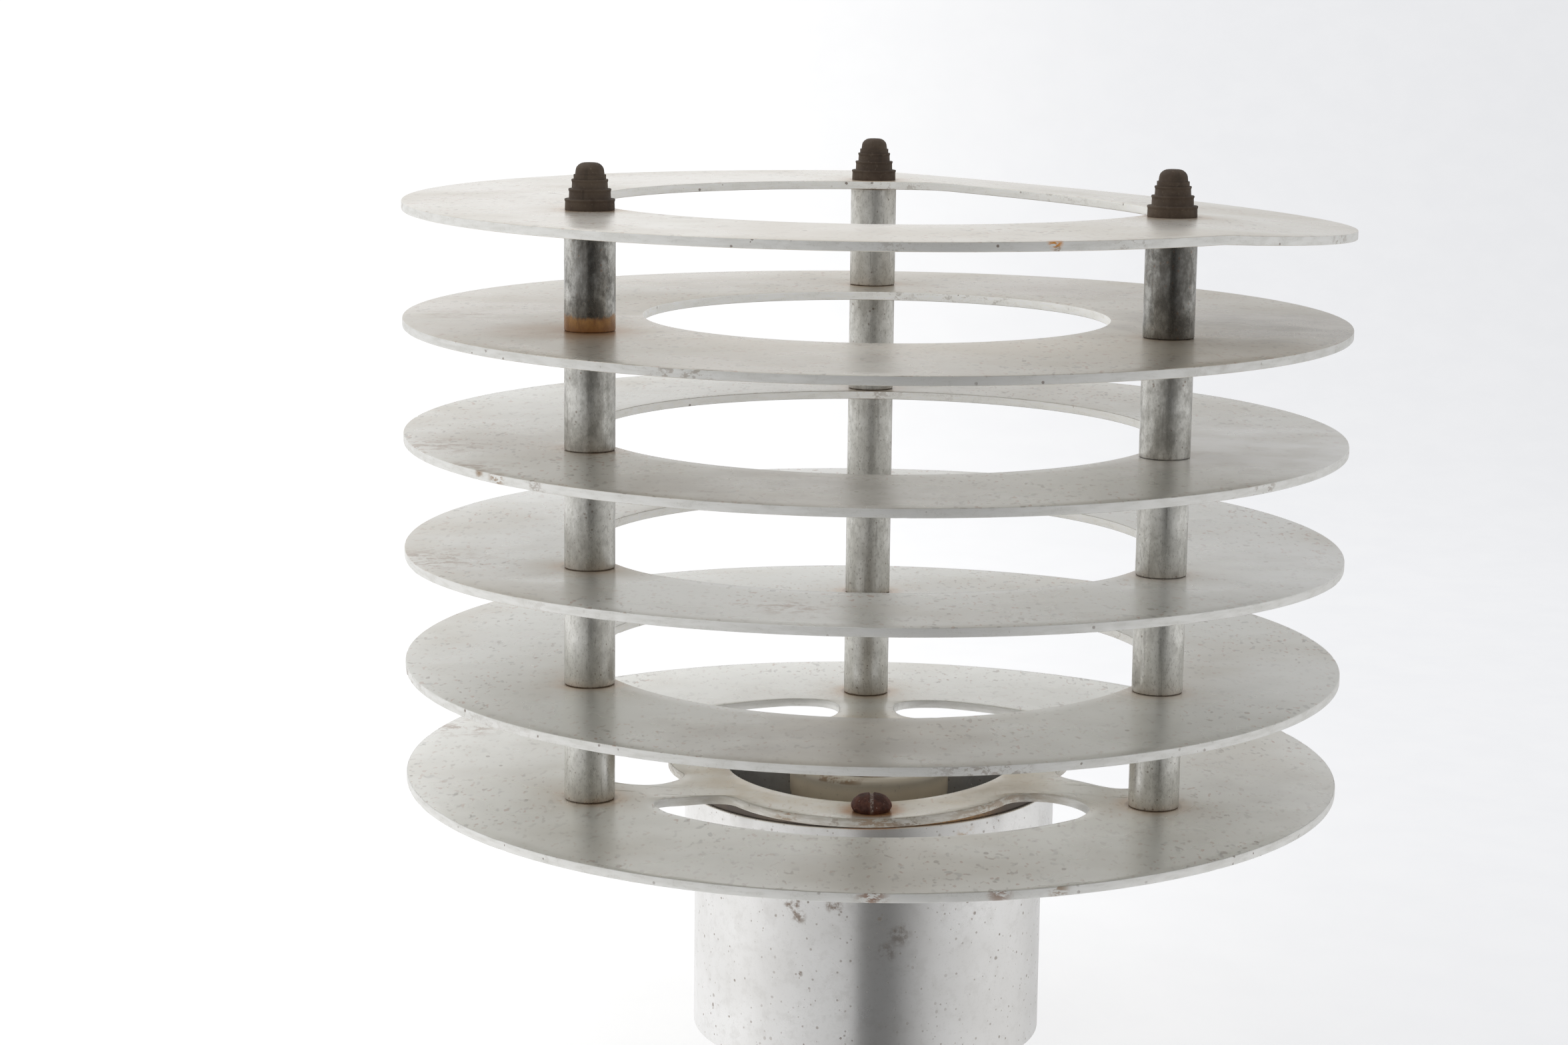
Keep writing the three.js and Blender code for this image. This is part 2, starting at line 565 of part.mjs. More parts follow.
function terminalBlock(side) {
  const { inner, outer, halfWidth, height } = TERMINAL;
  const top = TERMINAL_CAVITY.top;
  const middle = terminalMiddle(side);
  const halfLength = (outer - inner) / 2;
  const bottom = top - height;
  const body = block([middle - halfLength, -halfWidth, bottom], [middle + halfLength, halfWidth, top]);
  const wireWay = rod(
    TERMINAL_WIRE_HOLE.radius, bottom - CUT_MARGIN, top - TERMINAL_WIRE_HOLE.roof, SEGMENTS.small, middle,
  );
  const screwWay = rod(TERMINAL_SCREW.hole, 0, halfWidth + CUT_MARGIN, SEGMENTS.small).rotateX(Math.PI / 2);
  return cut(body, [wireWay, screwWay.translate(middle, 0, top - height / 2)]);
}

function terminalScrew(side) {
  const { shank, length, head, headHeight, slot } = TERMINAL_SCREW;
  const geometry = slottedScrew(head, headHeight, shank, length, slot).rotateX(Math.PI / 2);
  const height = TERMINAL_CAVITY.top - TERMINAL.height / 2;
  return geometry.translate(terminalMiddle(side), -TERMINAL.halfWidth, height);
}

const tab = block(
  [TAB.offset, -TAB.width / 2, TERMINAL_CAVITY.top],
  [TAB.offset + TAB.thickness, TAB.width / 2, SOCKET_FLOOR],
);
add('lampholder_body', holderBody(), MATERIALS.porcelain);
add('threaded_shell', threadedShell(), MATERIALS.brass);
add('shell_contact_tab', tab, MATERIALS.brass);
add('centre_contact', centreContact(), MATERIALS.brass);
add('contact_spring', contactSpring(), MATERIALS.zinc);
[-1, 1].forEach((side, i) => {
  add(`terminal_block_${i + 1}`, terminalBlock(side), MATERIALS.brass);
  add(`terminal_screw_${i + 1}`, terminalScrew(side), MATERIALS.brass);
});

export default lampHead;
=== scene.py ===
"""Louvred lamp head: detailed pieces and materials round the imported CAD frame.

Lengths are millimetres in this file and become metres when a mesh is made. +Z is up, the origin is the
centre of the tube's lower end, and the rear post stands on +Y.
"""
import json
import math

import bmesh
import bpy
from mathutils import Matrix, Vector, noise
from mathutils.geometry import tessellate_polygon


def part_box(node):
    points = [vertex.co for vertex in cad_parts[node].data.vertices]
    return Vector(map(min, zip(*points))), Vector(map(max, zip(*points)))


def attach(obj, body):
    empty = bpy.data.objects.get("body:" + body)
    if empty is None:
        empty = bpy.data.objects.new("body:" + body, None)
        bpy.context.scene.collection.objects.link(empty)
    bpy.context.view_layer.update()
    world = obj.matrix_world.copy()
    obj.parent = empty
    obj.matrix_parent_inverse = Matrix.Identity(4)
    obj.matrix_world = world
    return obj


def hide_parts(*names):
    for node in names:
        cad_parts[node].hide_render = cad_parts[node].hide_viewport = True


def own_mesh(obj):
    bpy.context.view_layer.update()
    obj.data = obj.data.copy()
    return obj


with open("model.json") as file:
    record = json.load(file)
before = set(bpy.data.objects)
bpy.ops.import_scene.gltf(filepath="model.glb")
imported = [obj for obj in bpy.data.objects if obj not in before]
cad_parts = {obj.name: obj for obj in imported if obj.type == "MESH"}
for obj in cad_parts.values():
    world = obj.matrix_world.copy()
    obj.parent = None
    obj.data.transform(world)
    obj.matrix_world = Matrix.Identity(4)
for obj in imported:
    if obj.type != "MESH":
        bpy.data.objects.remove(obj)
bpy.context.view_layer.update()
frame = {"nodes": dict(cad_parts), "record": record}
MM = 0.001
BODY = "lamp_head"
UP = Vector((0, 0, 1))


def cad_box(node):
    """A CAD node's lowest and highest corners in millimetres."""
    low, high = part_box(node)
    return low / MM, high / MM


# ---------------------------------------------------------------- dimensions
PLATE_RADIUS = cad_box("louvre_ring_1")[1].x
OPENING_RADIUS = 81.5
NARROW_OPENING_RADIUS = 66.0
NARROW_RING = 2
POST_CIRCLE = 90.0
POST_AZIMUTHS = {"rear": 90, "left": 210, "right": 330}
POST_RADIUS = 7.0
POST_BORE = 5.5
POST_GAP = 0.05
SCREW_CIRCLE = 50.0
SCREW_AZIMUTHS = {"right": 30, "left": 150, "front": 270}
LAMP_HOLE_RADIUS = 41.0
BASE_TOP = cad_box("base_plate")[1].z
EDGE_ROUNDING = 0.35


def polar(radius, degrees):
    return Vector((radius * math.cos(math.radians(degrees)), radius * math.sin(math.radians(degrees))))


POSTS = {side: polar(POST_CIRCLE, azimuth) for side, azimuth in POST_AZIMUTHS.items()}
SCREWS = {side: polar(SCREW_CIRCLE, azimuth) for side, azimuth in SCREW_AZIMUTHS.items()}


# ---------------------------------------------------------------- materials
class Look:
    """Builds one procedural material. Scales are per metre of object space, which is the row frame."""

    def __init__(self, name, **shader):
        self.material = bpy.data.materials.new(name)
        self.material.use_nodes = True
        self.tree = self.material.node_tree
        self.shader = self.tree.nodes["Principled BSDF"]
        self.set(**shader)
        self.position = self.node("ShaderNodeTexCoord").outputs["Object"]
        self.heights = []

    def put(self, value, socket):
        """Links a socket, or sets a plain value; a colour of three numbers gets its alpha."""
        if isinstance(value, bpy.types.NodeSocket):
            self.tree.links.new(value, socket)
        elif socket.type == "RGBA":
            socket.default_value = (*value, 1)
        else:
            socket.default_value = value

    def set(self, **values):
        for key, value in values.items():
            self.put(value, self.shader.inputs[key.replace("_", " ").title().replace("Ior", "IOR")])

    def node(self, kind, inputs=None, **settings):
        made = self.tree.nodes.new(kind)
        for key, value in settings.items():
            setattr(made, key, value)
        for key, value in (inputs or {}).items():
            self.put(value, made.inputs[key])
        return made

    def math(self, operation, a, b=0.0):
        """One step of arithmetic; an operation of one value leaves b out."""
        return self.node("ShaderNodeMath", {0: a, 1: b}, operation=operation).outputs[0]

    def times(self, total, *others):
        for other in others:
            total = self.math("MULTIPLY", total, other)
        return total

    def largest(self, total, *others):
        for other in others:
            total = self.math("MAXIMUM", total, other)
        return total

    def axis(self, name):
        return self.node("ShaderNodeSeparateXYZ", {0: self.position}).outputs[name]

    def moved(self, stretch, seed):
        offset = (seed * 1.37, seed * 0.71, seed * 2.13)
        inputs = {"Vector": self.position, "Scale": stretch, "Location": offset}
        return self.node("ShaderNodeMapping", inputs).outputs[0]

    def noise(self, scale, detail=3, roughness=0.5, stretch=(1, 1, 1), seed=0):
        inputs = {"Vector": self.moved(stretch, seed), "Scale": scale, "Detail": detail}
        return self.node("ShaderNodeTexNoise", {**inputs, "Roughness": roughness}).outputs["Fac"]

    def step(self, value, low, high, start=0.0, end=1.0):
        inputs = {"Value": value, "From Min": low, "From Max": high, "To Min": start, "To Max": end}
        return self.node("ShaderNodeMapRange", inputs, interpolation_type="SMOOTHSTEP").outputs[0]

    def spots(self, scale, size, share, seed=0, stretch=(1, 1, 1)):
        """A mask of irregular spots: one in each chosen cell, its size set by the cell's random number."""
        warp = self.math("SUBTRACT", self.noise(scale * 2.5, 2, 0.6, stretch, seed + 3), 0.5)
        cell = self.node("ShaderNodeTexVoronoi", {"Vector": self.moved(stretch, seed), "Scale": scale})
        chance = self.node("ShaderNodeSeparateColor", {0: cell.outputs["Color"]}).outputs
        chosen = self.math("LESS_THAN", chance[0], share)
        reach = self.times(self.math("ADD", self.times(chance[1], 0.7), 0.3), size)
        ragged = self.math("ADD", cell.outputs["Distance"], self.times(warp, size))
        return self.times(self.step(self.math("DIVIDE", ragged, reach), 1.0, 0.55), chosen)

    def near(self, x, y, low, high, z=None):
        """1 within low millimetres of a vertical axis, or of a point if z is given, fading to 0 at high."""
        keep = (1, 1, 0) if z is None else (1, 1, 1)
        target = (x * MM, y * MM, 0 if z is None else z * MM)
        flat = self.node("ShaderNodeVectorMath", {0: self.position, 1: keep}, operation="MULTIPLY")
        away = self.node("ShaderNodeVectorMath", {0: flat.outputs[0], 1: target}, operation="DISTANCE")
        return self.step(away.outputs["Value"], low * MM, high * MM, 1, 0)

    def near_posts(self, low, high):
        return self.largest(*(self.near(*post, low, high) for post in POSTS.values()))

    def height_band(self, low, high):
        """0 below low millimetres of height, 1 above high."""
        return self.step(self.axis("Z"), low * MM, high * MM)

    def mix(self, factor, a, b):
        return self.node("ShaderNodeMix", {0: factor, 6: a, 7: b}, data_type="RGBA").outputs[2]

    def stain(self, base, colour, *masks):
        """The base with a colour over it, as strongly as the product of the masks."""
        return self.mix(self.times(*masks), base, colour)

    def marked(self, base, marks, mask):
        """The base with each placed mark on it, broken up by the mask."""
        for x, y, z, inner, outer, colour, strength in marks:
            base = self.stain(base, colour, self.near(x, y, inner, outer, z), mask, strength)
        return base

    def bump(self, height, strength, distance=0.0002):
        inputs = {"Height": height, "Strength": strength, "Distance": distance}
        if self.heights:
            inputs["Normal"] = self.heights[-1]
        self.heights.append(self.node("ShaderNodeBump", inputs).outputs[0])
        self.set(normal=self.heights[-1])


def grey(level, warmth=0.0, red=1.0):
    """A grey with less blue, and with more red by the stated share of the warmth."""
    return (level * (1 + red * warmth), level, level * (1 - 1.6 * warmth))


RUST_MARK = (0.42, 0.22, 0.09)
BROWN = (0.33, 0.23, 0.15)
RED_BROWN = (0.42, 0.24, 0.17)
DUST = (0.60, 0.54, 0.44)
SPECK = (0.20, 0.14, 0.105)
GREY_SPECK = (0.30, 0.29, 0.27)
GRIME = (0.24, 0.18, 0.14)
STREAK = (0.26, 0.13, 0.07)
SCUFF = (0.40, 0.31, 0.24)
POST_DUST = (0.50, 0.40, 0.28)
POST_DAMP = (0.52, 0.32, 0.16)
POST_FOOT = (0.22, 0.13, 0.07)
EDGE_DARKENED = (0.42, 0.38, 0.31)
EDGE_DIRT = (0.24, 0.18, 0.13)
EDGE_CHIP = (0.15, 0.10, 0.075)
# The next two colours are painted light and painted shade, for marks that lighten or darken parts of the
# sheets as light falls on them.
PAINTED_LIGHT = (0.92, 0.92, 0.91)
SHADE = (0.45, 0.42, 0.38)


def plate_look(name, tone, dust=0.5, specks=0.4, seed=0, marks=(), warmth=0.03, red=1.0, scuffs=()):
    """Weathered aluminium sheet: mottled grey, short dark and reddish dashes, brown dust round the posts."""
    look = Look(name, metallic=0.42)
    slow = look.step(look.noise(22, 3, 0.55, seed=seed), 0.3, 0.7)
    base = look.mix(slow, grey(0.75 * tone, warmth, red), grey(0.81 * tone, warmth, red / 2))
    mottle = look.step(look.noise(90, 2, 0.5, seed=seed + 1), 0.35, 0.7)
    base = look.stain(base, grey(0.71 * tone, warmth * 1.2, red), mottle, 0.5)
    cloud = look.step(look.noise(14, 3, 0.6, seed=seed + 4), 0.42, 0.72, 0, dust)
    base = look.mix(cloud, base, DUST)
    clusters = look.step(look.noise(26, 2, 0.5, seed=seed + 5), 0.4, 0.62, 0.35, 1)
    for shift, scale, least, colour, strength in (
        (0, 560, 0.64, SPECK, 1.0), (6, 640, 0.63, RED_BROWN, 1.1), (12, 480, 0.63, GREY_SPECK, 0.9),
    ):
        along = look.noise(scale, 1, 0.5, (0.9, 0.42, 1), seed + shift)
        dashes = look.step(along, least, least + 0.1, 0, strength * specks)
        base = look.stain(base, colour, dashes, clusters)
    base = look.stain(base, SPECK, look.spots(230, 0.2, 0.08, seed, (0.9, 0.6, 1)), 0.5)
    scrape = look.step(look.noise(260, 4, 0.7, (0.7, 0.9, 1), seed + 9), 0.47, 0.60, 0, 0.85)
    for x, y, reach in scuffs:
        base = look.stain(base, SCUFF, look.near(x, y, 2, reach), scrape)
    ragged = look.step(look.noise(70, 3, 0.5, seed=seed + 7), 0.3, 0.7, 0.4, 1)
    base = look.stain(base, POST_DUST, look.near_posts(6, 26), ragged, 0.55)
    base = look.stain(base, POST_DAMP, look.near_posts(7.5, 13), ragged, 0.55)
    base = look.stain(base, POST_FOOT, look.near_posts(7.2, 8.4), ragged, 0.7)
    look.set(base_color=look.marked(base, marks, ragged))
    look.set(roughness=look.math("ADD", look.step(slow, 0, 1, 0.25, 0.29), look.times(cloud, 0.1)))
    return look.material


def edge_look(name, tone=1.0, dirt=0.4, seed=0, marks=(), metallic=0.6, painted_glow=0.0, inner_darkening=0.0):
    """The cut edge of the sheet: smooth, with faint crack lines, a few chips and dark dirt in clusters.

    The edge may be given a slight painted glow, painted light that brightens it, and it may be darkened near
    the lamp hole.
    """
    look = Look(name, metallic=metallic)
    lines = look.noise(160, 4, 0.6, (1, 1, 5), seed)
    base = look.mix(look.step(lines, 0.35, 0.7), grey(0.82 * tone, 0.02, 0.3), grey(0.75 * tone, 0.03, 0.3))
    web = look.math("ABSOLUTE", look.math("SUBTRACT", look.noise(330, 3, 0.6, seed=seed + 4), 0.5))
    cracks = look.step(web, 0.004, 0.022, 1, 0)
    base = look.stain(base, grey(0.35, 0.05), cracks, look.step(lines, 0.42, 0.6), 0.15)
    # The edges near the lamp hole are made darker.
    if inner_darkening:
        broken_lines = look.step(lines, 0.3, 0.6, 0.6, 1)
        base = look.stain(base, EDGE_DARKENED, look.near(0, 0, 62, 72), broken_lines, inner_darkening)
    grime = look.step(look.noise(380, 4, 0.7, (1, 1, 1.7), seed + 1), 0.50, 0.60)
    clusters = look.step(look.noise(30, 2, 0.5, seed=seed), 0.56, 0.7)
    base = look.stain(base, EDGE_DIRT, grime, clusters, dirt)
    broken = look.step(look.noise(40, 2, 0.5, seed=seed), 0.48, 0.64)
    chips = look.times(look.spots(420, 0.26, dirt, seed + 2), broken)
    base = look.stain(base, EDGE_CHIP, chips, 0.8)
    dashed = look.step(look.noise(330, 4, 0.65, (1, 1, 3), seed + 6), 0.44, 0.54)
    base = look.marked(base, marks, dashed)
    look.set(base_color=base, roughness=look.step(lines, 0.3, 0.7, 0.36, 0.5))
    # A slight painted glow: the edge's own colour given off as light, so that it looks more lit.
    if painted_glow:
        look.set(emission_color=base, emission_strength=painted_glow)
    look.bump(chips, 0.2, -0.0002)
    return look.material


def post_look(name, tone, dark, gloss, worn, seed=0, rust_below=None, dark_reflection_at=None):
    """Drawn aluminium tube gone blotchy, with a few scratches.

    With rust_below it has a rust band up to that height; given a vertical line as its last argument, it has a
    painted dark reflection along that line.
    """
    look = Look(name, metallic=0.95)
    blotches = look.noise(150, 5, 0.7, (1, 1, 0.7), seed + 3)
    mottle = look.noise(430, 4, 0.7, (1, 1, 0.6), seed)
    fine = look.noise(1500, 3, 0.7, (1, 1, 0.6), seed + 1)
    faded = grey((0.84 - 0.2 * worn) * tone, 0.04, 0.3)
    base = look.mix(look.step(blotches, 0.36, 0.66), grey(0.84 * tone, 0.03, 0.3), faded)
    base = look.mix(look.step(mottle, 0.42, 0.68, 0, 0.6 * worn), base, grey(0.48 * tone, 0.05, 0.4))
    blackened = look.step(blotches, 0.40, 0.60), look.step(mottle, 0.3, 0.6, 0.35, 1)
    base = look.stain(base, grey(0.14 - 0.06 * dark, 0.06), *blackened, dark)
    # A painted dark reflection down the front of the tube, broken into blotches.
    if dark_reflection_at is not None:
        patchiness = look.step(mottle, 0.25, 0.6, 0.5, 1)
        base = look.stain(base, grey(0.10, 0.06), look.near(*dark_reflection_at, 1.5, 6.5), patchiness, 0.85)
    base = look.mix(look.step(fine, 0.5, 0.7, 0, 0.5), base, grey(0.36 * tone, 0.05))
    scratches = look.noise(700, 2, 0.5, (1, 1, 0.06), seed + 6)
    base = look.mix(look.step(scratches, 0.62, 0.72, 0, 0.35), base, grey(0.3 * tone, 0.05))
    base = look.stain(base, SPECK, look.spots(620, 0.28, 0.4, seed), 0.6)
    if rust_below is not None:
        wavy = look.math("ADD", look.axis("Z"), look.step(blotches, 0.3, 0.7, -0.0008, 0.0008))
        band = look.step(wavy, rust_below * MM, (rust_below + 1.4) * MM, 1, 0)
        low = look.step(wavy, (rust_below - 3.4) * MM, rust_below * MM)
        orange = look.mix(look.step(mottle, 0.4, 0.65), (0.52, 0.27, 0.085), (0.34, 0.16, 0.055))
        base = look.stain(base, look.mix(low, (0.32, 0.14, 0.04), orange), band, 0.9)
        look.set(metallic=look.step(band, 0, 1, 0.95, 0.1))
    look.set(base_color=base, roughness=look.step(mottle, 0.3, 0.7, gloss, gloss + 0.14))
    look.bump(fine, 0.10)
    look.bump(mottle, 0.12, 0.0001)
    return look.material


def tube_look(name, tone=1.0, seed=0, patches=()):
    """Turned aluminium tube: smooth satin with pinhead specks and a few brown patches near its top."""
    look = Look(name, metallic=0.95, anisotropic=0.75, anisotropic_rotation=0.25)
    look.set(tangent=look.node("ShaderNodeTangent", direction_type="RADIAL", axis="Z").outputs[0])
    soft = look.noise(35, 3, 0.55, seed=seed)
    base = look.mix(look.step(soft, 0.35, 0.7), grey(0.80 * tone, 0.006), grey(0.73 * tone, 0.012))
    cloudy = look.step(look.noise(260, 4, 0.65, seed=seed + 4), 0.48, 0.7, 0, 0.4)
    base = look.mix(cloudy, base, grey(0.62 * tone, 0.02))
    fine = look.noise(1300, 3, 0.7, seed=seed + 2)
    base = look.mix(look.step(fine, 0.55, 0.75, 0, 0.3), base, grey(0.5 * tone, 0.03))
    dense = look.step(look.noise(30, 2, 0.5, seed=seed + 1), 0.38, 0.6, 0.35, 1)
    tiny = look.times(look.spots(520, 0.24, 0.6, seed + 9), 0.6)
    small = look.times(look.spots(330, 0.20, 0.6, seed), dense)
    large = look.times(look.spots(190, 0.17, 0.4, seed + 5), dense)
    specks = look.largest(tiny, small, large)
    base = look.stain(base, (0.26, 0.195, 0.15), specks, 0.66)
    ragged = look.step(look.noise(420, 4, 0.7, seed=seed + 8), 0.40, 0.62)
    look.set(base_color=look.marked(base, patches, ragged))
    look.set(roughness=look.math("ADD", look.step(soft, 0.3, 0.7, 0.26, 0.32), look.times(specks, 0.3)))
    look.bump(fine, 0.03)
    look.bump(specks, 0.2, -0.0001)
    return look.material


def cap_look():
    """Dull bronze-brown push-on caps, chalky in places, with faint upright ribs."""
    look = Look("cap_bronze", metallic=0.0, specular_ior_level=0.35)
    fine = look.noise(900, 4, 0.7)
    blotch = look.noise(160, 3, 0.6)
    ribs = look.noise(420, 2, 0.5, (1, 1, 0.1), 4)
    base = look.mix(look.step(blotch, 0.35, 0.7), (0.085, 0.060, 0.043), (0.125, 0.094, 0.068))
    base = look.mix(look.step(fine, 0.55, 0.75, 0, 0.55), base, (0.22, 0.18, 0.14))
    base = look.mix(look.step(ribs, 0.55, 0.7, 0, 0.3), base, (0.035, 0.028, 0.02))
    look.set(base_color=base, roughness=look.step(fine, 0.3, 0.7, 0.62, 0.85))
    look.bump(fine, 0.3)
    look.bump(ribs, 0.2)
    return look.material


def rusty_look():
    """Rust-brown domed heads, with pale dirt in the front one's slot and specks on all of them."""
    look = Look("rusty_screw", metallic=0.25)
    fine = look.noise(1100, 5, 0.75)
    blotch = look.noise(320, 4, 0.7, seed=2)
    base = look.mix(look.step(blotch, 0.35, 0.65), (0.060, 0.022, 0.017), (0.16, 0.062, 0.042))
    base = look.mix(look.step(fine, 0.62, 0.7, 0, 0.8), base, (0.42, 0.37, 0.33))
    slot = look.step(look.math("ABSOLUTE", look.axis("X")), 0.00015, 0.0007, 1, 0)
    broken = look.step(fine, 0.4, 0.55), look.step(blotch, 0.45, 0.62, 0.75, 0.15)
    base = look.stain(base, (0.52, 0.46, 0.42), slot, *broken)
    look.set(base_color=base, roughness=look.step(fine, 0.3, 0.7, 0.5, 0.9))
    look.bump(blotch, 0.6, 0.0004)
    look.bump(fine, 0.5)
    return look.material


def porcelain_look():
    """Old glazed porcelain: beige grey, dusty, brown dirt on the lip."""
    look = Look("porcelain", roughness=0.4, coat_weight=0.25, coat_roughness=0.15)
    soft = look.noise(60, 3, 0.6)
    base = look.mix(look.step(soft, 0.35, 0.7), (0.86, 0.75, 0.58), (0.78, 0.66, 0.50))
    base = look.stain(base, (0.52, 0.47, 0.38), look.height_band(73.5, 77), 0.8)
    dirt = look.step(look.noise(170, 4, 0.7, seed=3), 0.46, 0.58)
    on_lip = look.height_band(76.2, 76.9), look.near(-13, -19, 7, 14)
    base = look.stain(base, (0.24, 0.14, 0.06), dirt, *on_lip, 0.8)
    fine = look.noise(800, 3, 0.7, seed=5)
    base = look.mix(look.step(fine, 0.6, 0.75, 0, 0.3), base, (0.25, 0.2, 0.15))
    look.set(base_color=base)
    look.bump(soft, 0.1, 0.0004)
    look.bump(fine, 0.06)
    return look.material


def metal_look(name, light, dark, roughness, stained):
    """Plain small metal parts: grain, tarnish and stains."""
    look = Look(name, metallic=0.9)
    patchiness = look.noise(150, 4, 0.65)
    fine = look.noise(1200, 3, 0.7, seed=2)
    base = look.mix(look.step(patchiness, 0.35, 0.68), light, dark)
    base = look.mix(look.step(fine, 0.58, 0.72, 0, 0.5), base, stained)
    look.set(base_color=base, roughness=look.step(patchiness, 0.3, 0.7, roughness, roughness + 0.2))
    look.bump(fine, 0.12)
    return look.material


def rubber_look():
    """Aged brown rubber, rust-stained beside the front screw."""
    look = Look("aged_rubber")
    fine = look.noise(1300, 4, 0.7)
    dust = look.noise(90, 3, 0.6, seed=2)
    base = look.mix(look.step(dust, 0.4, 0.7), (0.11, 0.09, 0.076), (0.18, 0.145, 0.115))
    base = look.mix(look.step(fine, 0.6, 0.75, 0, 0.4), base, (0.20, 0.165, 0.13))
    broken = look.step(fine, 0.35, 0.6, 0.4, 1)
    base = look.stain(base, (0.42, 0.24, 0.10), look.near(20, -49, 6, 24), broken, 0.85)
    look.set(base_color=base, roughness=look.step(dust, 0.3, 0.7, 0.6, 0.85))
    look.bump(fine, 0.25)
    return look.material


# ---------------------------------------------------------------- mesh helpers
def finish_mesh(name, build, materials, replaces, sharp=32):
    """Turns a bmesh in millimetres into a piece of the lamp head that replaces the named CAD nodes."""
    bmesh.ops.remove_doubles(build, verts=build.verts, dist=1e-4)
    bmesh.ops.recalc_face_normals(build, faces=build.faces)
    bmesh.ops.scale(build, vec=(MM, MM, MM), verts=build.verts)
    mesh = bpy.data.meshes.new(name)
    build.to_mesh(mesh)
    build.free()
    mesh.shade_smooth()
    mesh.set_sharp_from_angle(angle=math.radians(sharp))
    for material in materials:
        mesh.materials.append(material)
    piece = bpy.data.objects.new(name, mesh)
    bpy.context.scene.collection.objects.link(piece)
    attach(piece, BODY)
    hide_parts(*replaces)
    return piece


def rounded(points, radius, steps=3):
    """The closed profile with each marked corner turned into an arc. points are (r, z) or (r, z, radius)."""
    result = []
    count = len(points)
    for i, point in enumerate(points):
        corner = Vector(point[:2])
        size = point[2] if len(point) > 2 else radius
        before = Vector(points[i - 1][:2]) - corner
        after = Vector(points[(i + 1) % count][:2]) - corner
        if size <= 0 or corner.x < 1e-6:
            result.append(tuple(corner))
            continue
        size = min(size, before.length * 0.45, after.length * 0.45)
        start = corner + before.normalized() * size
        end = corner + after.normalized() * size
        for k in range(steps + 1):
            t = k / steps
            result.append(tuple(start * (1 - t) ** 2 + corner * 2 * t * (1 - t) + end * t * t))
    return result


def turned(profile, segments, centre=(0, 0), vary=None, edge_from=None, bore_within=0.0):
    """A bmesh of revolution of a closed (r, z) profile. vary(r, z, angle) may return a changed (r, z).

    Faces steeper than edge_from take material 1, or 2 inside the radius bore_within.
    """
    build = bmesh.new()
    rings = []
    for i in range(segments):
        angle = 2 * math.pi * i / segments
        ring = []
        for r, z in profile:
            if vary is not None and r > 1e-6:
                r, z = vary(r, z, angle)
            x, y = centre[0] + r * math.cos(angle), centre[1] + r * math.sin(angle)
            ring.append(build.verts.new((x, y, z)))
        rings.append(ring)
    count = len(profile)
    for i in range(segments):
        ring, following = rings[i], rings[(i + 1) % segments]
        for k in range(count):
            m = (k + 1) % count
            if profile[k][0] < 1e-6 and profile[m][0] < 1e-6:
                continue
            face = build.faces.new((ring[k], following[k], following[m], ring[m]))
            if edge_from is not None:
                (r0, z0), (r1, z1) = profile[k], profile[m]
                steep = abs(z1 - z0) > edge_from * abs(r1 - r0)
                face.material_index = (2 if r0 < bore_within else 1) if steep else 0
    return build


def bumpy(scale, amount, seed=0.0):
    """A slow random change of radius, so that a turned piece is not perfect."""
    def vary(r, z, angle):
        point = Vector((math.cos(angle) * r, math.sin(angle) * r, z + seed)) * scale
        return r - amount * (0.5 + 0.5 * noise.noise(point)), z
    return vary


def holed_plate(outer, holes, bottom, top, rounding, longest=None):
    """A flat plate with rounded edges and holes. Contours are counter-clockwise lists of 2-D points.

    Edges longer than the stated longest are halved until none is left, so that the sheet can be bent.
    """
    build = bmesh.new()
    tops, bottoms = [], []
    for contour, outward in [(outer, 1)] + [(hole, -1) for hole in holes]:
        count = len(contour)
        normals = []
        for i in range(count):
            direction = (contour[(i + 1) % count] - contour[i - 1]).normalized()
            normals.append(Vector((direction.y, -direction.x)) * outward)
        section = []
        for degrees in (0, 45, 90):
            angle = math.radians(degrees)
            section.append((rounding * (1 - math.sin(angle)), bottom + rounding * (1 - math.cos(angle))))
        section += [(inset, bottom + top - z) for inset, z in reversed(section)]
        loops = []
        for inset, z in section:
            loops.append([build.verts.new((*(contour[i] - normals[i] * inset), z)) for i in range(count)])
        for low, high in zip(loops, loops[1:]):
            for i in range(count):
                face = build.faces.new((low[i], low[(i + 1) % count], high[(i + 1) % count], high[i]))
                face.material_index = 1
        bottoms.append(loops[0])
        tops.append(loops[-1])
    for loops in (tops, bottoms):
        corners = [vert for loop in loops for vert in loop]
        for triangle in tessellate_polygon([[vert.co for vert in loop] for loop in loops]):
            build.faces.new([corners[i] for i in triangle])
    while longest is not None:
        stretched = [edge for edge in build.edges if edge.calc_length() > longest]
        if not stretched:
            break
        bmesh.ops.subdivide_edges(build, edges=stretched, cuts=1)
        bmesh.ops.triangulate(build, faces=[face for face in build.faces if len(face.verts) > 4])
    return build


def circle(radius, segments, centre=(0, 0)):
    return [Vector(centre) + polar(radius, 360 * i / segments) for i in range(segments)]


# ---------------------------------------------------------------- louvre rings
RING_DIVISIONS = 10
RING_SEGMENTS = 480
CHIPPED_WIDTH = 1.2
DROOP = {"from": 45, "slope": 0.0692, "towards": polar(1, 20)}
LIFT = {"from": 45, "slope": 0.0308}


def smooth(value, low, high):
    t = min(1.0, max(0.0, (value - low) / (high - low)))
    return t * t * (3 - 2 * t)


def away_from_posts(x, y):
    """0 where a post clamps the sheet, 1 well away from the posts."""
    nearest = min((Vector((x, y)) - post).length for post in POSTS.values())
    return smooth(nearest, 8, 34)


def bend_ring(ring, x, y):
    """How far the sheet is bent: the top ring droops at the right, and the fourth lifts at the front."""
    if ring == 1:
        reach = Vector((x, y)).dot(DROOP["towards"]) - DROOP["from"]
        return -DROOP["slope"] * max(0.0, reach) * away_from_posts(x, y)
    if ring == 4:
        return LIFT["slope"] * max(0.0, -y - LIFT["from"]) * away_from_posts(x, y)
    return 0.0


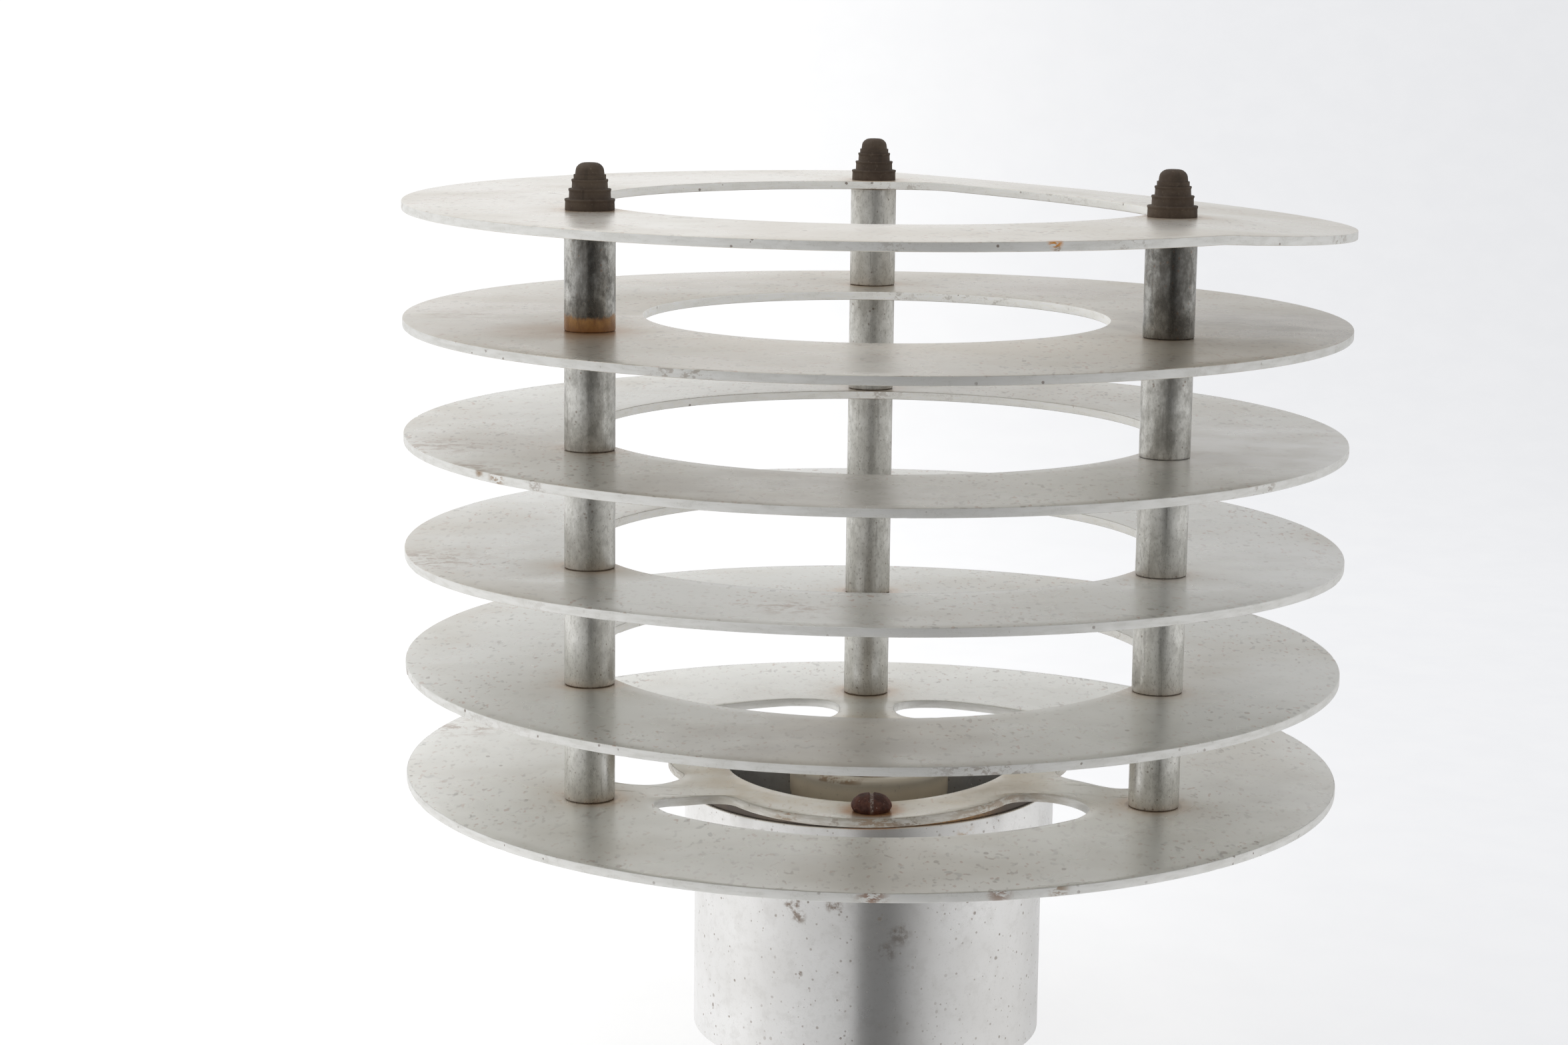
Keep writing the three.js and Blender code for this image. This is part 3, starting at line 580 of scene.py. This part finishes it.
def nick(ring, x, y, z):
    """How deep the sheet's rim is chipped at a point."""
    point = Vector((x * 0.16, y * 0.16, ring * 7.3))
    small = max(0.0, noise.noise(point * 3) - 0.45) * 0.8
    return min(0.4, small + 0.02 * (0.5 + 0.5 * noise.noise(point * 9 + Vector((0, 0, z)))))


def louvre_ring(ring, materials):
    """A chipped and bent louvre ring with its face, rim and bore materials."""
    low, high = cad_box(f"louvre_ring_{ring}")
    inner = NARROW_OPENING_RADIUS if ring == NARROW_RING else OPENING_RADIUS
    radii = [inner + (PLATE_RADIUS - inner) * k / RING_DIVISIONS for k in range(1, RING_DIVISIONS)]
    face = [(r, high.z, 0) for r in reversed(radii)]
    underside = [(r, low.z, 0) for r in radii]
    bore, rim = [(inner, high.z), (inner, low.z)], [(PLATE_RADIUS, low.z), (PLATE_RADIUS, high.z)]
    profile = rounded([*face, *bore, *underside, *rim], EDGE_ROUNDING)

    def shaped(r, z, angle):
        x, y = r * math.cos(angle), r * math.sin(angle)
        if r > PLATE_RADIUS - CHIPPED_WIDTH:
            r -= nick(ring, x, y, z)
        elif r < inner + CHIPPED_WIDTH:
            r += nick(ring + 9, x, y, z)
        return r, z + bend_ring(ring, x, y)

    build = turned(profile, RING_SEGMENTS, vary=shaped, edge_from=1.0, bore_within=POST_CIRCLE)
    return finish_mesh(f"ring_sheet_{ring}", build, materials, [f"louvre_ring_{ring}"])


# ---------------------------------------------------------------- base plate
SLOT_OUTER_END = 43
SLOT_INNER_RADIUS = 44.5
SLOT_INNER_OFFSET = 16.5
SLOT_INNER_END = 58
BRIDGE_HALF_WIDTH = 8.5
RIM_POINTS = 540
LONGEST_EDGE = 7
# The plate's bent middle: the depth and reach of the front screw's pull, and the slope to the right.
PULL = 1.45
PULL_REACH = 40
LEAN = 0.022


def slot_outline(azimuth):
    """One curved slot of the base plate, counter-clockwise."""
    along, across = polar(1, 60), polar(1, -30)

    def beside(distance):
        return along * distance + across * BRIDGE_HALF_WIDTH

    def inner(degrees):
        return polar(SLOT_INNER_RADIUS, degrees) + Vector((SLOT_INNER_OFFSET, 0))

    def bend(start, corner, end, steps=12):
        ts = [(k + 1) / steps for k in range(steps)]
        return [start * (1 - t) ** 2 + corner * 2 * t * (1 - t) + end * t * t for t in ts]

    half = [polar(OPENING_RADIUS, SLOT_OUTER_END * k / 28) for k in range(29)]
    half += bend(half[-1], beside(79.5), beside(67))
    half += bend(beside(67), beside(55), inner(SLOT_INNER_END))
    half += [inner(SLOT_INNER_END * (1 - k / 24)) for k in range(1, 25)]
    other = [Vector((point.x, -point.y)) for point in reversed(half[1:-1])]
    turn = Matrix.Rotation(math.radians(azimuth), 2)
    return [turn @ point for point in half + other]


def pull_down(x, y):
    """How far the front screw pulls the plate's middle down, in straight folds either side of it."""
    fold = max(0.0, 1 - math.hypot(x, 4) / PULL_REACH)
    return PULL * fold * smooth(-y, 12, PULL_REACH) * (1 - smooth(math.hypot(x, y), 49, 74))


def lean(x, y):
    """The plate's middle rises a little to the right."""
    return LEAN * x * (1 - smooth(math.hypot(x, y), 62, 80))


def base_sheet(materials):
    low, high = cad_box("base_plate")
    rim = []
    for i in range(RIM_POINTS):
        point = polar(PLATE_RADIUS, 360 * i / RIM_POINTS)
        rim.append(point * (1 - nick(6, point.x, point.y, 0) / PLATE_RADIUS))
    holes = [circle(LAMP_HOLE_RADIUS, 180)] + [slot_outline(azimuth) for azimuth in SCREW_AZIMUTHS.values()]
    build = holed_plate(rim, holes, low.z, high.z, EDGE_ROUNDING, LONGEST_EDGE)
    for vert in build.verts:
        vert.co.z += lean(vert.co.x, vert.co.y) - pull_down(vert.co.x, vert.co.y)
    return finish_mesh("base_sheet", build, materials, ["base_plate"])


# ---------------------------------------------------------------- posts and caps
CAP_BORE = 4.4
CAP_TIERS = ((6.85, 0, 3.0), (5.8, 3.0, 5.7), (5.0, 5.7, 8.2))
SCREW_HEAD_RADIUS = 5.8
SCREW_SHANK_RADIUS = 2.4
SCREW_SHOULDER = 1.3


def spacer_tube(side, level, material):
    """One of a post's tubes, a hair shorter than its CAD node."""
    low, high = cad_box(f"spacer_{side}_{level}")
    foot, head = low.z + POST_GAP, high.z - POST_GAP
    profile = rounded([(POST_BORE, foot), (POST_RADIUS, foot), (POST_RADIUS, head), (POST_BORE, head)], 0.4)
    build = turned(profile, 96, POSTS[side], bumpy(0.25, 0.06, level * 3.1))
    return finish_mesh(f"spacer_tube_{side}_{level}", build, [material], [f"spacer_{side}_{level}"])


def push_on_cap(side, material):
    """Three tiers, each with a thin raised bead round its top, under a domed crown."""
    foot = cad_box(f"stepped_cap_{side}")[0].z
    profile = [(CAP_BORE, foot, 0)]
    for radius, bottom, top in CAP_TIERS:
        profile += [
            (radius - 0.1, foot + bottom, 0.15), (radius - 0.18, foot + top - 0.8, 0.3),
            (radius, foot + top - 0.45, 0.2), (radius, foot + top, 0.3),
            (radius - 0.6, foot + top - 0.12, 0.2),
        ]
    profile += [
        (4.15, foot + 8.2, 0.3), (3.75, foot + 11.4, 1.3), (2.4, foot + 12.55, 1.2), (0, foot + 12.7),
        (0, foot + 9.6), (CAP_BORE, foot + 9.4, 0),
    ]
    build = turned(rounded(profile, 0.2), 96, POSTS[side], bumpy(0.6, 0.08, foot))
    return finish_mesh(f"push_on_cap_{side}", build, [material], [f"stepped_cap_{side}"], sharp=50)


def domed_screw(side, material):
    """A rusted slotted dome head with a lumpy crown."""
    low, high = cad_box(f"plate_screw_{side}")
    centre = SCREWS[side]
    radius, shank, widest = SCREW_HEAD_RADIUS, SCREW_SHANK_RADIUS, BASE_TOP + SCREW_SHOULDER
    profile = [(shank, low.z, 0.3), (shank, BASE_TOP, 0)]
    profile += [(radius - 0.7, BASE_TOP, 0.2), (radius, widest, 0.5)]
    for k in range(1, 12):
        angle = math.radians(90 * k / 12)
        profile.append((radius * math.cos(angle) ** 0.8, widest + (high.z - widest) * math.sin(angle), 0))
    profile += [(0, high.z), (0, low.z)]

    def lumpy(r, z, angle):
        if z <= BASE_TOP:
            return r, z
        point = Vector((math.cos(angle) * r, math.sin(angle) * r, z)) * 0.9
        return r - 0.3 * (0.5 + 0.5 * noise.noise(point)), z

    build = turned(rounded(profile, 0.2), 72, centre, lumpy)
    floor = high.z - 1.2
    for vert in build.verts:
        across = vert.co.x - centre.x
        depth = 0.5 * (1 - smooth(abs(across), 0.35, 0.75))
        if vert.co.z > floor:
            vert.co.z = max(floor, vert.co.z - depth)
        vert.co.z += lean(*centre) - pull_down(*centre)
    return finish_mesh(f"domed_screw_{side}", build, [material], [f"plate_screw_{side}"], sharp=60)


# ---------------------------------------------------------------- tube, collar, gasket
TUBE_SEGMENTS = 192
TUBE_BORE = 47.5
COLLAR_BORE = 45
SPIGOT_RADIUS = 47.2
GASKET_BORE = 45.5
GASKET_RADIUS = 52.8
DISC_HOLE_RADIUS = 10
DISC_SCREW_CIRCLE = 38
DISC_SCREW_HOLE_RADIUS = 2.75


def housing(materials):
    """The tube, its collar and gasket, and the disc with its grommet inside."""
    low, high = cad_box("housing_tube")
    outer, bore = high.x, TUBE_BORE
    wall = [(outer, low.z + (high.z - low.z) * k / 8, 0) for k in range(1, 8)]
    profile = rounded([(bore, low.z), (outer, low.z), *wall, (outer, high.z), (bore, high.z)], 0.5)
    tube = turned(profile, TUBE_SEGMENTS, vary=bumpy(0.02, 0.06))
    finish_mesh("tube_wall", tube, [materials["tube"]], ["housing_tube"])

    low, high = cad_box("housing_collar")
    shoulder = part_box("housing_tube")[1].z / MM
    profile = rounded([
        (COLLAR_BORE, low.z), (SPIGOT_RADIUS, low.z), (SPIGOT_RADIUS, shoulder, 0), (high.x, shoulder),
        (high.x, high.z), (COLLAR_BORE, high.z),
    ], 0.5)
    collar = turned(profile, TUBE_SEGMENTS, vary=bumpy(0.03, 0.05, 9))
    for vert in collar.verts:
        vert.co.z += lean(vert.co.x, vert.co.y) * smooth(vert.co.z, shoulder + 1, high.z)
    seat = high.z
    finish_mesh("collar_wall", collar, [materials["collar"]], ["housing_collar"])

    low, high = cad_box("collar_gasket")
    profile = rounded([
        (GASKET_BORE, low.z), (GASKET_RADIUS, low.z), (GASKET_RADIUS, high.z), (GASKET_BORE, high.z),
    ], 0.6)
    seal = turned(profile, TUBE_SEGMENTS, vary=bumpy(0.12, 0.35, 4))
    for vert in seal.verts:
        pressed = (vert.co.z - seat) / (high.z - seat)
        vert.co.z += lean(vert.co.x, vert.co.y) - pull_down(vert.co.x, vert.co.y) * pressed
    finish_mesh("gasket_ring", seal, [materials["rubber"]], ["collar_gasket"])

    low, high = cad_box("mounting_disc")
    holes = [circle(DISC_HOLE_RADIUS, 72)]
    for azimuth in SCREW_AZIMUTHS.values():
        holes.append(circle(DISC_SCREW_HOLE_RADIUS, 32, polar(DISC_SCREW_CIRCLE, azimuth)))
    disc = holed_plate(circle(high.x, TUBE_SEGMENTS), holes, low.z, high.z, 0.3)
    finish_mesh("disc_sheet", disc, [materials["disc"], materials["edge"]], ["mounting_disc"])

    low, high = cad_box("cable_grommet")
    middle = (low.z + high.z) / 2
    profile = rounded([
        (4.5, low.z, 0.6), (12, low.z, 0.5), (13, middle - 1.6, 0.4), (9.8, middle - 1.5, 0.3),
        (9.8, middle + 1.5, 0.3), (13, middle + 1.6, 0.4), (12, high.z, 0.5), (4.5, high.z, 0.6),
    ], 0.4)
    finish_mesh("grommet_ring", turned(profile, 96), [materials["rubber"]], ["cable_grommet"])


# ---------------------------------------------------------------- lampholder
def lampholder(materials):
    """The porcelain body, and the threaded shell rolled from thin sheet inside it."""
    low, high = cad_box("lampholder_body")
    radius, socket, floor = high.x, 16.8, 46.5
    profile = rounded([
        (2.3, low.z, 0), (radius - 0.6, low.z, 1), (radius - 0.6, high.z - 10, 0.6),
        (radius, high.z - 8.5, 0.6), (radius, high.z, 1.9), (socket + 1.2, high.z, 1.2),
        (socket, high.z - 3.2, 0.8), (socket, floor, 0.5), (2.3, floor, 0),
    ], 0.5, 5)
    body = turned(profile, 128, vary=bumpy(0.06, 0.12))
    finish_mesh("holder_porcelain", body, [materials["porcelain"]], ["lampholder_body"])

    low, high = cad_box("threaded_shell")
    turns, steps, crest, root, sheet = 6, 12, 13.5, 14.6, 0.5
    flange, flange_sheet = 16, 0.6
    outer = []
    for k in range(turns * steps + 1):
        wave = 0.5 + 0.5 * math.cos(2 * math.pi * k / steps)
        z = low.z + flange_sheet + (high.z - low.z - flange_sheet) * k / (turns * steps)
        outer.append((crest + (root - crest) * wave, z))
    inner = [(r - sheet, z) for r, z in reversed(outer)]
    profile = [(flange, low.z), (flange, low.z + flange_sheet), *outer, *inner, (inner[-1][0], low.z)]
    shell = turned(profile, 96)
    finish_mesh("screw_shell", shell, [materials["brass"]], ["threaded_shell"], sharp=60)


def coil_spring(material):
    """The fine coil under the centre contact."""
    low, high = cad_box("contact_spring")
    wire, turns, steps, sides, travel = 0.4, 3, 32, 10, 2.0
    mean = high.x - wire
    build = bmesh.new()
    rings = []
    for k in range(turns * steps + 1):
        share = k / (turns * steps)
        angle = 2 * math.pi * turns * share
        outward = Vector((math.cos(angle), math.sin(angle), 0))
        middle = outward * mean + UP * (low.z + wire + share * (high.z - low.z - 2 * wire))
        ring = []
        for i in range(sides):
            t = 2 * math.pi * i / sides
            ring.append(build.verts.new(middle + outward * (wire * math.cos(t)) + UP * (wire * math.sin(t))))
        rings.append(ring)
    for first, second in zip(rings, rings[1:]):
        for i in range(sides):
            j = (i + 1) % sides
            build.faces.new((first[i], first[j], second[j], second[i]))
    build.faces.new(rings[0])
    build.faces.new(rings[-1])
    coil = finish_mesh("contact_coil", build, [material], ["contact_spring"], sharp=60)
    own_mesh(coil)


# ---------------------------------------------------------------- make the pieces
# A mark is (x, y, height, inner radius, outer radius, colour, strength). It is at full strength within the
# inner radius and gone at the outer one; with no height it holds at every height. A scuff is (x, y, radius).
LEFT_POST = POSTS["left"]
RING_1_TOP = cad_box("louvre_ring_1")[1].z
RINGS = {
    1: {
        "tone": 1.03, "specks": 0.35, "warmth": 0.045, "red": 1.0,
        "marks": [
            (41, -127, RING_1_TOP, 1.0, 2.6, (0.66, 0.27, 0.04), 1.0),
            (41.6, -127, RING_1_TOP - 2, 0.4, 1.2, BROWN, 1.0),
        ],
    },
    2: {
        "tone": 0.84, "specks": 0.45, "warmth": 0.06, "red": 1.0, "scuffs": [(-116, -12, 18)],
        "marks": [
            (LEFT_POST.x - 7, LEFT_POST.y - 3, None, 7, 27, (0.52, 0.34, 0.18), 0.85),
            (LEFT_POST.x, LEFT_POST.y, None, 7.5, 14, RUST_MARK, 0.8),
            (-92, -36, None, 4, 30, BROWN, 0.2), (60, 66, None, 6, 40, BROWN, 0.25),
            # Painted shade: a dark patch at the right of this sheet and a faint one at its front left.
            (96, -20, None, 12, 70, (0.36, 0.33, 0.29), 0.95), (-100, -40, None, 20, 70, SHADE, 0.25),
        ],
    },
    3: {
        "tone": 0.99, "specks": 0.5, "warmth": 0.035, "red": 0.2,
        "scuffs": [(-120, -44, 22), (-106, -78, 14)],
        "marks": [
            (-104, -30, None, 5, 34, BROWN, 0.22), (-99, -90, 174.6, 0.8, 4.5, BROWN, 0.9),
            (-104, -84, 175.2, 0.4, 2.5, BROWN, 0.9), (-62.5, -118, 173.3, 0.2, 1.0, BROWN, 1.0),
            # Painted light at the right of this sheet, and painted shade at its front and its back.
            (100, -30, None, 16, 80, (0.97, 0.97, 0.96), 1.0), (-20, -112, None, 15, 75, SHADE, 0.65),
            (0, 112, None, 20, 80, SHADE, 0.5),
        ],
    },
    4: {
        "tone": 0.98, "specks": 0.5, "warmth": 0.025, "red": 0.2,
        "scuffs": [(-123, -38, 24), (-22, -106, 18)],
        # Painted light at the right of this sheet.
        "marks": [(100, -30, None, 10, 70, PAINTED_LIGHT, 0.7)],
    },
    5: {
        "tone": 0.93, "specks": 0.5, "warmth": 0.035, "red": 0.2,
        # Painted light at the right of this sheet and painted shade at its front.
        "marks": [(100, -30, None, 10, 60, PAINTED_LIGHT, 0.4), (-10, -112, None, 15, 75, SHADE, 0.65)],
    },
}
# Ring 2's rim has a darker tone all round: painted shade, standing for the shade at that ring's right side.
RIM_TONE = {ring: 0.85 if ring == NARROW_RING else 0.93 for ring in RINGS}
BASE_MARKS = [
    (0, 0, None, 46, 70, (0.63, 0.54, 0.40), 0.95),
    *((screw.x, screw.y, None, 6.2, 11, (0.55, 0.25, 0.08), 1.0) for screw in SCREWS.values()),
    # Painted shade at the front and at the right of the base sheet.
    (36, -36, None, 3, 20, (0.42, 0.36, 0.27), 0.8), (0, -112, None, 10, 60, SHADE, 0.25),
    (104, -30, None, 8, 50, SHADE, 0.35),
]
BASE_EDGE_MARKS = [
    (-1, -133, 77.6, 1, 5.5, STREAK, 0.8), (31, -130, 77.6, 0.8, 4.5, STREAK, 0.7),
    (46, -125.3, 77.6, 0.8, 4, BROWN, 0.8), (36, -48, 77, 5, 24, BROWN, 0.6),
    (1, -60.6, 77, 3, 9, BROWN, 0.8), (-24, -55, 77, 1, 6, BROWN, 0.8),
]
TUBE_PATCHES = [
    (-21.5, -45.7, 48.7, 1.4, 3.4, GRIME, 0.9), (-19.8, -46.5, 45.2, 1.2, 3.0, GRIME, 0.85),
    (-10, -49.5, 49.5, 1.2, 3.2, GRIME, 0.9), (4.5, -50.3, 36, 1.2, 4, GRIME, 0.5),
    (8.5, -49.8, 41, 1.2, 4.4, GRIME, 0.55), (-19, -46.7, 28.6, 0.3, 1.1, GRIME, 0.9),
]
COLLAR_PATCHES = [(26.7, -46.4, 68, 1.5, 5, (0.45, 0.28, 0.12), 0.7), (-30, -44, 68, 0.5, 2, GRIME, 0.7)]

# A post's tubes from the top down: tone, blackening, roughness and wear.
# The top tubes of the front posts are the darkest: partly real blackening, partly painted dark reflection.
POST_FINISHES = {
    1: (0.66, 0.8, 0.18, 0.8), 2: (0.78, 0.35, 0.26, 0.7), 3: (0.80, 0.2, 0.26, 0.4),
    4: (0.88, 0.15, 0.26, 0.35), 5: (0.88, 0.15, 0.26, 0.35),
}
REAR_POST_FINISH = (0.87, 0.1, 0.34, 0.4)
# The right post's top tube is darker still, a painted dark reflection.
RIGHT_TOP_TONE = 0.50
RUST_BAND_HEIGHT = 3.6
# The line of the painted dark reflection, on the front of each front post.
DARK_REFLECTION_OFFSET = Vector((0.2, -POST_RADIUS))


def make_plates():
    """The five rings, from the top down, and the base plate."""
    for ring, finish in RINGS.items():
        face = plate_look(f"sheet_{ring}", seed=ring * 11, **finish)
        chipped = [mark for mark in finish["marks"] if mark[2] is not None]
        rim = edge_look(f"rim_edge_{ring}", RIM_TONE[ring], 0.5, ring * 5, chipped)
        # The bore edges are whitish, with a slight painted glow that brightens them.
        bore = edge_look(f"bore_edge_{ring}", 1.1, 0.5, ring * 5 + 2, metallic=0.0, painted_glow=0.14)
        louvre_ring(ring, [face, rim, bore])
    face = plate_look(
        "sheet_base", 1.10, 0.35, specks=0.45, seed=80, marks=BASE_MARKS, warmth=0.03, red=0.2,
        scuffs=[(-122, 34, 16)],
    )
    base_sheet([face, edge_look("cut_edge_base", 0.97, 0.75, 31, BASE_EDGE_MARKS, 0.5, inner_darkening=0.7)])


def make_posts():
    """The three posts; the front two have a painted dark reflection down their front at the top, and rust
    rings the left one there.
    """
    for index, side in enumerate(POST_AZIMUTHS):
        for level, finish in POST_FINISHES.items():
            tone, dark, gloss, worn = REAR_POST_FINISH if side == "rear" else finish
            rust = dark_reflection_at = None
            if level == 1 and side != "rear":
                dark_reflection_at = POSTS[side] + DARK_REFLECTION_OFFSET
            if level == 1 and side == "left":
                rust = cad_box("spacer_left_1")[0].z + RUST_BAND_HEIGHT
            if level == 1 and side == "right":
                tone = RIGHT_TOP_TONE
            seed = index * 7 + level
            look = post_look(f"post_{side}_{level}", tone, dark, gloss, worn, seed, rust, dark_reflection_at)
            spacer_tube(side, level, look)


def finish_cad_parts(shared):
    """The CAD parts that stay get the shared material of their slot and softened edges."""
    slots = {row["node"]: row["material_slot"] for row in frame["record"]["subparts"]}
    for name, part in frame["nodes"].items():
        if part.hide_render or slots[name] not in shared:
            continue
        part.data.materials.clear()
        part.data.materials.append(shared[slots[name]])
        bevel = part.modifiers.new("soft_edges", "BEVEL")
        bevel.width = 0.15 * MM
        bevel.segments = 2
        bevel.limit_method = "ANGLE"
        bevel.angle_limit = math.radians(50)


def build_pieces():
    make_plates()
    make_posts()
    cap = cap_look()
    rusty = rusty_look()
    for side in POST_AZIMUTHS:
        push_on_cap(side, cap)
    for side in SCREW_AZIMUTHS:
        domed_screw(side, rusty)
    zinc = metal_look("dull_zinc", (0.5, 0.5, 0.47), (0.36, 0.35, 0.32), 0.4, (0.2, 0.15, 0.1))
    brass = metal_look("aged_brass", (0.30, 0.22, 0.12), (0.16, 0.12, 0.07), 0.35, (0.08, 0.06, 0.04))
    rubber = rubber_look()
    housing({
        "tube": tube_look("turned_tube", patches=TUBE_PATCHES),
        "collar": tube_look("turned_collar", 1.03, 20, COLLAR_PATCHES),
        "disc": plate_look("disc_sheet", 0.9, seed=50), "edge": edge_look("disc_edge"), "rubber": rubber,
    })
    lampholder({"porcelain": porcelain_look(), "brass": brass})
    coil_spring(zinc)
    finish_cad_parts({"zinc": zinc, "brass": brass, "rubber": rubber, "rusty": rusty})


# ---------------------------------------------------------------- camera, floor and light
LENS = 72.67
SENSOR_WIDTH = 36
CAMERA = {
    "distance": 894.3, "height": 305.9, "yaw": -0.02855, "pitch": 0.17469, "roll": 0.01102, "turn": -0.93,
}

# The tent's brightness by the direction it is seen in: degrees anticlockwise from the front, seen from above.
TENT = [
    (-180, 0.80), (-90, 0.84), (-40, 0.54), (-8, 0.42), (-6, 0.11), (16, 0.11), (42, 0.44), (80, 0.64),
    (110, 0.67), (150, 0.52), (172, 0.56), (180, 0.80),
]


def add_camera():
    """The photo's viewpoint: yaw, pitch and roll in radians, then a turn in degrees about the lamp's axis."""
    yaw, pitch, roll = CAMERA["yaw"], CAMERA["pitch"], CAMERA["roll"]
    forward = Vector((math.sin(yaw) * math.cos(pitch), math.cos(yaw) * math.cos(pitch), -math.sin(pitch)))
    level = Vector((math.cos(yaw), -math.sin(yaw), 0))
    upright = level.cross(forward)
    right = level * math.cos(roll) + upright * math.sin(roll)
    up = upright * math.cos(roll) - level * math.sin(roll)
    place = Matrix((right, up, -forward)).transposed().to_4x4()
    place.translation = Vector((0, -CAMERA["distance"], CAMERA["height"])) * MM
    data = bpy.data.cameras.new("camera")
    data.lens = LENS
    data.sensor_width = SENSOR_WIDTH
    data.clip_start = 0.01
    camera = bpy.data.objects.new("camera", data)
    bpy.context.scene.collection.objects.link(camera)
    camera.matrix_world = Matrix.Rotation(math.radians(CAMERA["turn"]), 4, "Z") @ place
    bpy.context.scene.camera = camera


def add_floor():
    """A pale floor that curves up into a backdrop behind the object, glowing with painted light."""
    build = bmesh.new()
    front, depth, rise, radius, half = -9000, 1500, 2600, 800, 9000
    section = [(front, 0), (depth - radius, 0)]
    for k in range(1, 17):
        angle = math.radians(90 * k / 16)
        section.append((depth - radius + radius * math.sin(angle), radius * (1 - math.cos(angle))))
    section.append((depth, rise))
    rows = [[build.verts.new((x * MM, y * MM, z * MM)) for x in (-half, half)] for y, z in section]
    for low, high in zip(rows, rows[1:]):
        build.faces.new((low[0], low[1], high[1], high[0]))
    mesh = bpy.data.meshes.new("floor")
    build.to_mesh(mesh)
    build.free()
    mesh.shade_smooth()
    look = Look("pale_floor", roughness=0.9, specular_ior_level=0.1)
    grain = look.noise(40, 3, 0.6)
    look.set(base_color=look.mix(look.step(grain, 0.3, 0.7), (0.34, 0.342, 0.346), (0.36, 0.361, 0.363)))
    look.bump(grain, 0.02)
    # The floor's glow is painted light: brighter at the left, dimmer to the right, and strong enough to wash
    # out shadows cast on it.
    x = look.axis("X")
    near_side = look.step(x, -0.14, 0.25)
    far_side = look.step(x, 0.15, 0.55)
    glow = look.mix(near_side, (0.80, 0.80, 0.80), (0.63, 0.635, 0.65))
    look.set(emission_color=look.mix(far_side, glow, (0.58, 0.585, 0.60)), emission_strength=1.0)
    mesh.materials.append(look.material)
    floor = bpy.data.objects.new("floor", mesh)
    bpy.context.scene.collection.objects.link(floor)
    floor.visible_glossy = False


def add_light():
    """A wrap-round light tent: bright behind and at the left, dim where its opening faces the front."""
    world = bpy.data.worlds.new("tent")
    bpy.context.scene.world = world
    world.use_nodes = True
    tree = world.node_tree
    new, link = tree.nodes.new, tree.links.new
    split = new("ShaderNodeSeparateXYZ")
    link(new("ShaderNodeTexCoord").outputs["Generated"], split.inputs[0])
    backward = new("ShaderNodeMath")
    backward.operation = "MULTIPLY"
    backward.inputs[1].default_value = -1
    link(split.outputs["Y"], backward.inputs[0])
    azimuth = new("ShaderNodeMath")
    azimuth.operation = "ARCTAN2"
    link(split.outputs["X"], azimuth.inputs[0])
    link(backward.outputs[0], azimuth.inputs[1])
    share = new("ShaderNodeMapRange")
    share.inputs["From Min"].default_value = -math.pi
    share.inputs["From Max"].default_value = math.pi
    link(azimuth.outputs[0], share.inputs["Value"])
    ramp = new("ShaderNodeValToRGB")
    link(share.outputs[0], ramp.inputs[0])
    elements = ramp.color_ramp.elements
    while len(elements) < len(TENT):
        elements.new(0.5)
    for element, (degrees, level) in zip(elements, TENT):
        element.position = (degrees + 180) / 360
        element.color = (level, level, level, 1)
    roof = new("ShaderNodeMapRange")
    roof.interpolation_type = "SMOOTHSTEP"
    roof.inputs["From Min"].default_value = 0.25
    roof.inputs["To Min"].default_value = 1.3
    roof.inputs["To Max"].default_value = 0.62
    link(split.outputs["Z"], roof.inputs["Value"])
    background = tree.nodes["Background"]
    link(ramp.outputs[0], background.inputs["Color"])
    link(roof.outputs[0], background.inputs["Strength"])

    data = bpy.data.lights.new("overhead", "AREA")
    data.size = 1.4
    data.energy = 4
    data.specular_factor = 0.15
    lamp = bpy.data.objects.new("overhead", data)
    bpy.context.scene.collection.objects.link(lamp)
    lamp.location = (-0.35, 0.2, 1.4)
    lamp.rotation_euler = (Vector((0, 0, 0.12)) - lamp.location).to_track_quat("-Z", "Y").to_euler()


add_camera()
add_floor()
add_light()
build_pieces()
scene = bpy.context.scene
scene.view_settings.view_transform = "Standard"
scene.view_settings.look = "None"
